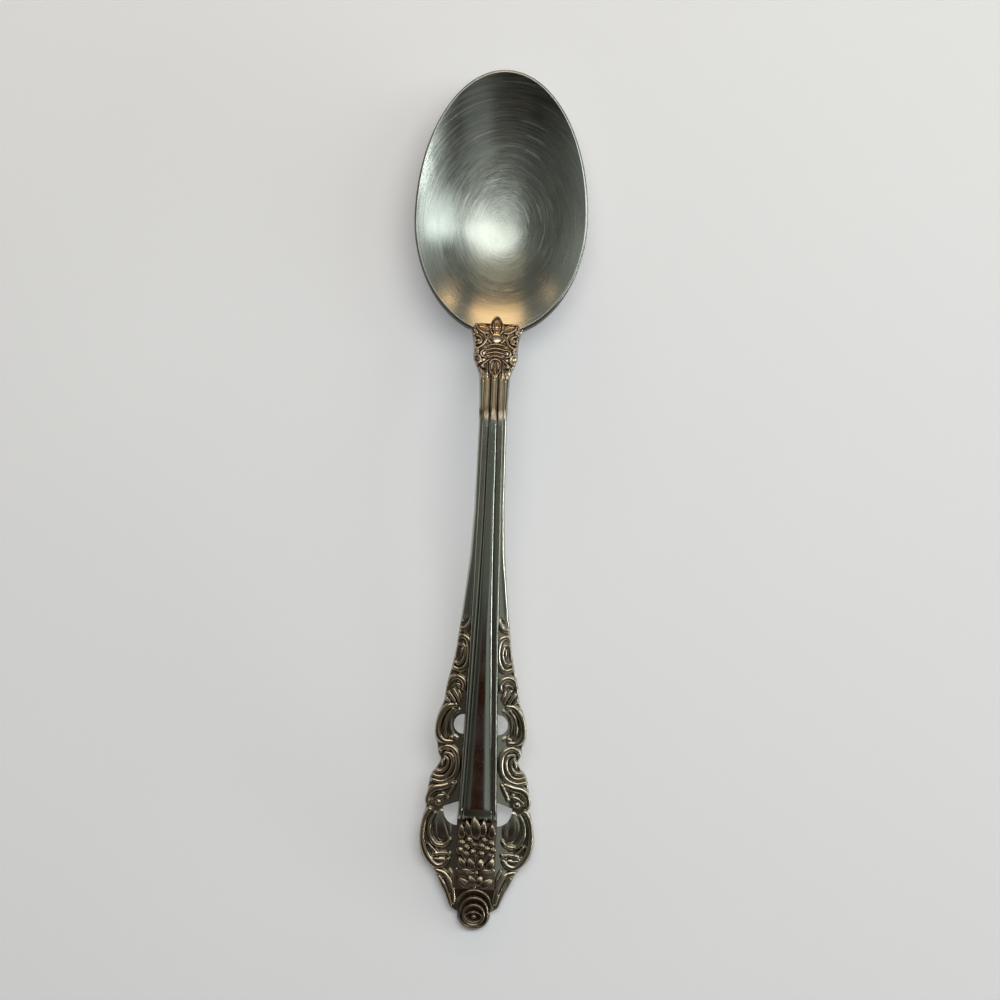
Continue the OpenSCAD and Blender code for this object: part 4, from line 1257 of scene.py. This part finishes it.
class SPOON_OT_tip(PieceOperator, bpy.types.Operator):
    """Makes the tip: a round end with stepped arcs over a lens"""

    bl_idname = "spoon.tip"
    bl_label = "Tip"

    def execute(self, context):
        s, looks = self.given(context)
        turn = np.linspace(0, np.pi / 2, 60)
        middle = Y_END + TIP_R
        stations = np.concatenate([np.linspace(Y_TIP, middle, 56)[:-1], middle - TIP_R * np.sin(turn)])
        flank = np.where(stations > Y_BORDER_END, inner_edge(s, stations), TIP_R)
        arc = np.sqrt(clamp01(1 - ((middle - stations) / TIP_R) ** 2)) * TIP_R
        half = np.maximum(np.where(stations < middle, arc, flank), 0.02)
        across = np.sin(np.linspace(-np.pi / 2, np.pi / 2, 97))
        y = np.repeat(stations[:, None], len(across), 1)
        x = across[None, :] * half[:, None]
        relief = np.zeros_like(x)
        for at, radius, height in TIP_STEPS:
            inward = radius - np.hypot(x, y - at)
            lip = np.sqrt(clamp01(1 - (1 - clamp01(inward / 0.45)) ** 2))
            relief = np.maximum(relief, height * lip * (1 - 0.6 * clamp01((inward - 0.5) / 1.1)))
        relief = np.maximum(relief, np.maximum(beads(x, y, TIP_STROKES), berries(x, y, TIP_BERRIES)))
        relief = relief * s.relief + BED_Z
        far = 9.0
        inside = np.where(y < middle, TIP_R - np.hypot(x, y - middle), far)
        inside = np.minimum(inside, np.where(y < Y_BORDER_END, half[:, None] - np.abs(x), far))
        sheet = mid(s, y)
        low = sheet - back_depth(y)
        top = np.maximum(sheet + FACE_Z + relief - edge_drop(inside), low + 0.3)
        rings = face_and_back(x, y, top, low, [96, 80, 48, 16, 0])
        # The tip is darker all over, and darker still in its hollows, where the darkening is partly painted
        # shade.
        hollow = clamp01(0.42 + hollows(relief, 5, 0.35))
        values = {"hollow": hollow, "age": np.ones(rings.shape[:2])}
        place_relief("tip_relief", rings, values, looks, "dark_steel", "tip", "tip_rings")
        return {"FINISHED"}


class SPOON_OT_stage(bpy.types.Operator):
    """Makes the pale floor, the lamps, the dim room and the camera straight above"""

    bl_idname = "spoon.stage"
    bl_label = "Stage"

    def lamp(self, level, name, shape, target, azimuth, elevation, away, wide, high, radiance, colour):
        """A panel that faces a target, placed by its direction from +X, its elevation and its distance."""
        data = bpy.data.lights.new(name, "AREA")
        data.shape = shape
        data.size, data.size_y = wide, high
        data.color = colour
        area = wide * high * (math.pi / 4 if shape == "ELLIPSE" else 1)
        data.energy = radiance * math.pi * area * level
        lamp = new_piece(name, data)
        az, el = math.radians(azimuth), math.radians(elevation)
        way = (math.cos(el) * math.cos(az), math.cos(el) * math.sin(az), math.sin(el))
        lamp.location = [t + away * w for t, w in zip(target, way)]
        lamp.rotation_euler = (math.pi / 2 - el, 0, az + math.pi / 2)
        lamp.visible_camera = False

    def execute(self, context):
        given = context.scene.spoon_stage
        n = 3.0
        mesh = bpy.data.meshes.new("floor")
        mesh.from_pydata([(-n, -n, 0), (n, -n, 0), (n, n, 0), (-n, n, 0)], [], [(0, 1, 2, 3)])
        floor = new_piece("floor", mesh)
        paper = bpy.data.materials.new("pale_floor")
        paper.use_nodes = True
        tree = paper.node_tree
        surface = tree.nodes["Principled BSDF"]
        coords = tree.nodes.new("ShaderNodeTexCoord").outputs["Object"]
        grain = noise(tree, stretched(tree, coords, (0.02, 0.02, 0.02)), 2.0)
        tone = blended(tree, [v * 0.985 for v in given.floor_colour], given.floor_colour, grain)
        tree.links.new(tone, surface.inputs["Base Color"])
        surface.inputs["Roughness"].default_value = 0.9
        surface.inputs["Specular IOR Level"].default_value = 0.1
        surface.inputs["Emission Color"].default_value = (*given.floor_glow, 1.0)
        ray = tree.nodes.new("ShaderNodeLightPath").outputs
        seen, mirrored, through = (
            Field(tree, ray[key]) for key in ("Is Camera Ray", "Is Glossy Ray", "Is Transmission Ray")
        )
        shown = larger(seen, larger(mirrored, through))
        tree.links.new(shown.socket, surface.inputs["Emission Strength"])
        mesh.materials.append(paper)

        bowl, middle, right_of_bowl = (0.0, 0.065, 0.01), (0.0, 0.0, 0.01), (0.22, 0.065, 0.01)
        cool, warm = (0.95, 1.0, 0.97), (1.0, 0.61, 0.29)
        lamps = [
            ("overhead_panel", "ELLIPSE", right_of_bowl, 90, 73.8, 0.83, 1.1, 0.39, 3.2, (0.97, 1.0, 0.95)),
            ("window_panel", "RECTANGLE", bowl, 11.5, 23, 1.3, 0.3, 0.7, 3.6, (0.92, 1.0, 0.98)),
            ("side_panel", "ELLIPSE", middle, -33, 57, 1.2, 0.6, 0.75, 0.2, cool),
            ("side_strip", "RECTANGLE", middle, -12, 6, 1.2, 0.7, 0.1, 16.0, cool),
            ("warm_panel", "RECTANGLE", middle, 90, 50, 1.3, 1.3, 0.45, 0.45, (1.0, 0.8, 0.5)),
            ("warm_lamp", "ELLIPSE", bowl, 90, 14, 1.2, 1.15, 0.32, 3.8, warm),
            ("warm_spark_left", "ELLIPSE", bowl, 48, 6.5, 1.2, 0.22, 0.06, 11.0, warm),
            ("warm_spark_right", "ELLIPSE", bowl, 136, 10, 1.2, 0.2, 0.06, 3.5, warm),
        ]
        for lamp in lamps:
            self.lamp(given.lamp_level, *lamp)

        world = bpy.data.worlds.new("dim_room")
        context.scene.world = world
        world.use_nodes = True
        tree = world.node_tree
        coords = tree.nodes.new("ShaderNodeTexCoord").outputs["Generated"]
        split = wired(tree, "ShaderNodeSeparateXYZ", Vector=coords)
        dx, dy, dz = (Field(tree, split.outputs[k]) for k in (0, 1, 2))
        far_room = blended(tree, (0.035, 0.031, 0.026), (0.075, 0.075, 0.066), smooth((dx + 0.3) / 0.7))
        low_room = blended(tree, (0.15, 0.155, 0.135), far_room, smooth((-0.1 - dy) / 0.3))
        room = blended(tree, low_room, (0.15, 0.157, 0.138), smooth((dz - 0.75) / 0.2))
        dark_side = smooth((-0.33 - dy) / 0.05) * smooth((dy + 0.62) / 0.2)
        dark_side = dark_side * smooth((dx + 0.34) / 0.1) * smooth((0.24 - dx) / 0.1)
        upper = blended(tree, room, (0.038, 0.008, 0.004), dark_side)
        sky = blended(tree, (0.4, 0.41, 0.385), upper, smooth((dz - 0.1) / 0.25))
        background = tree.nodes["Background"]
        tree.links.new(sky, background.inputs["Color"])
        background.inputs["Strength"].default_value = 1.0

        camera = new_piece("camera", bpy.data.cameras.new("camera"))
        camera.data.lens = 135.9
        camera.data.sensor_width = 36
        camera.data.clip_start = 0.01
        camera.location = (0.0024, 0.0005, given.camera_height)
        camera.rotation_euler = (0, 0, math.radians(2.3))
        context.scene.camera = camera
        context.scene.view_settings.view_transform = "Standard"
        return {"FINISHED"}


class SPOON_PT_panel(bpy.types.Panel):
    """Lists the spoon's sizes, colours and steps"""

    bl_label = "Tablespoon"
    bl_idname = "SPOON_PT_panel"
    bl_space_type = "VIEW_3D"
    bl_region_type = "UI"
    bl_category = "Tablespoon"

    def draw(self, context):
        for group in (context.scene.spoon_sizes, context.scene.spoon_looks, context.scene.spoon_stage):
            box = self.layout.box()
            for name in group.bl_rna.properties.keys():
                if name not in {"rna_type", "name"}:
                    box.prop(group, name)
        for step in STEPS:
            self.layout.operator(step.bl_idname)


GROUPS = {"spoon_sizes": SpoonSizes, "spoon_looks": SpoonLooks, "spoon_stage": SpoonStage}
STEPS = (
    SPOON_OT_stage, SPOON_OT_bowl, SPOON_OT_neck, SPOON_OT_shank, SPOON_OT_borders, SPOON_OT_spray,
    SPOON_OT_tip,
)


def register():
    for item in (*GROUPS.values(), *STEPS, SPOON_PT_panel):
        bpy.utils.register_class(item)
    for name, group in GROUPS.items():
        setattr(bpy.types.Scene, name, PointerProperty(type=group))


def unregister():
    for name in GROUPS:
        delattr(bpy.types.Scene, name)
    for item in (SPOON_PT_panel, *reversed(STEPS), *GROUPS.values()):
        bpy.utils.unregister_class(item)


def main():
    register()
    bpy.ops.spoon.stage()
    bpy.ops.spoon.bowl()
    bpy.ops.spoon.neck()
    bpy.ops.spoon.shank()
    bpy.ops.spoon.borders()
    bpy.ops.spoon.spray()
    bpy.ops.spoon.tip()


if __name__ == "__main__":
    main()
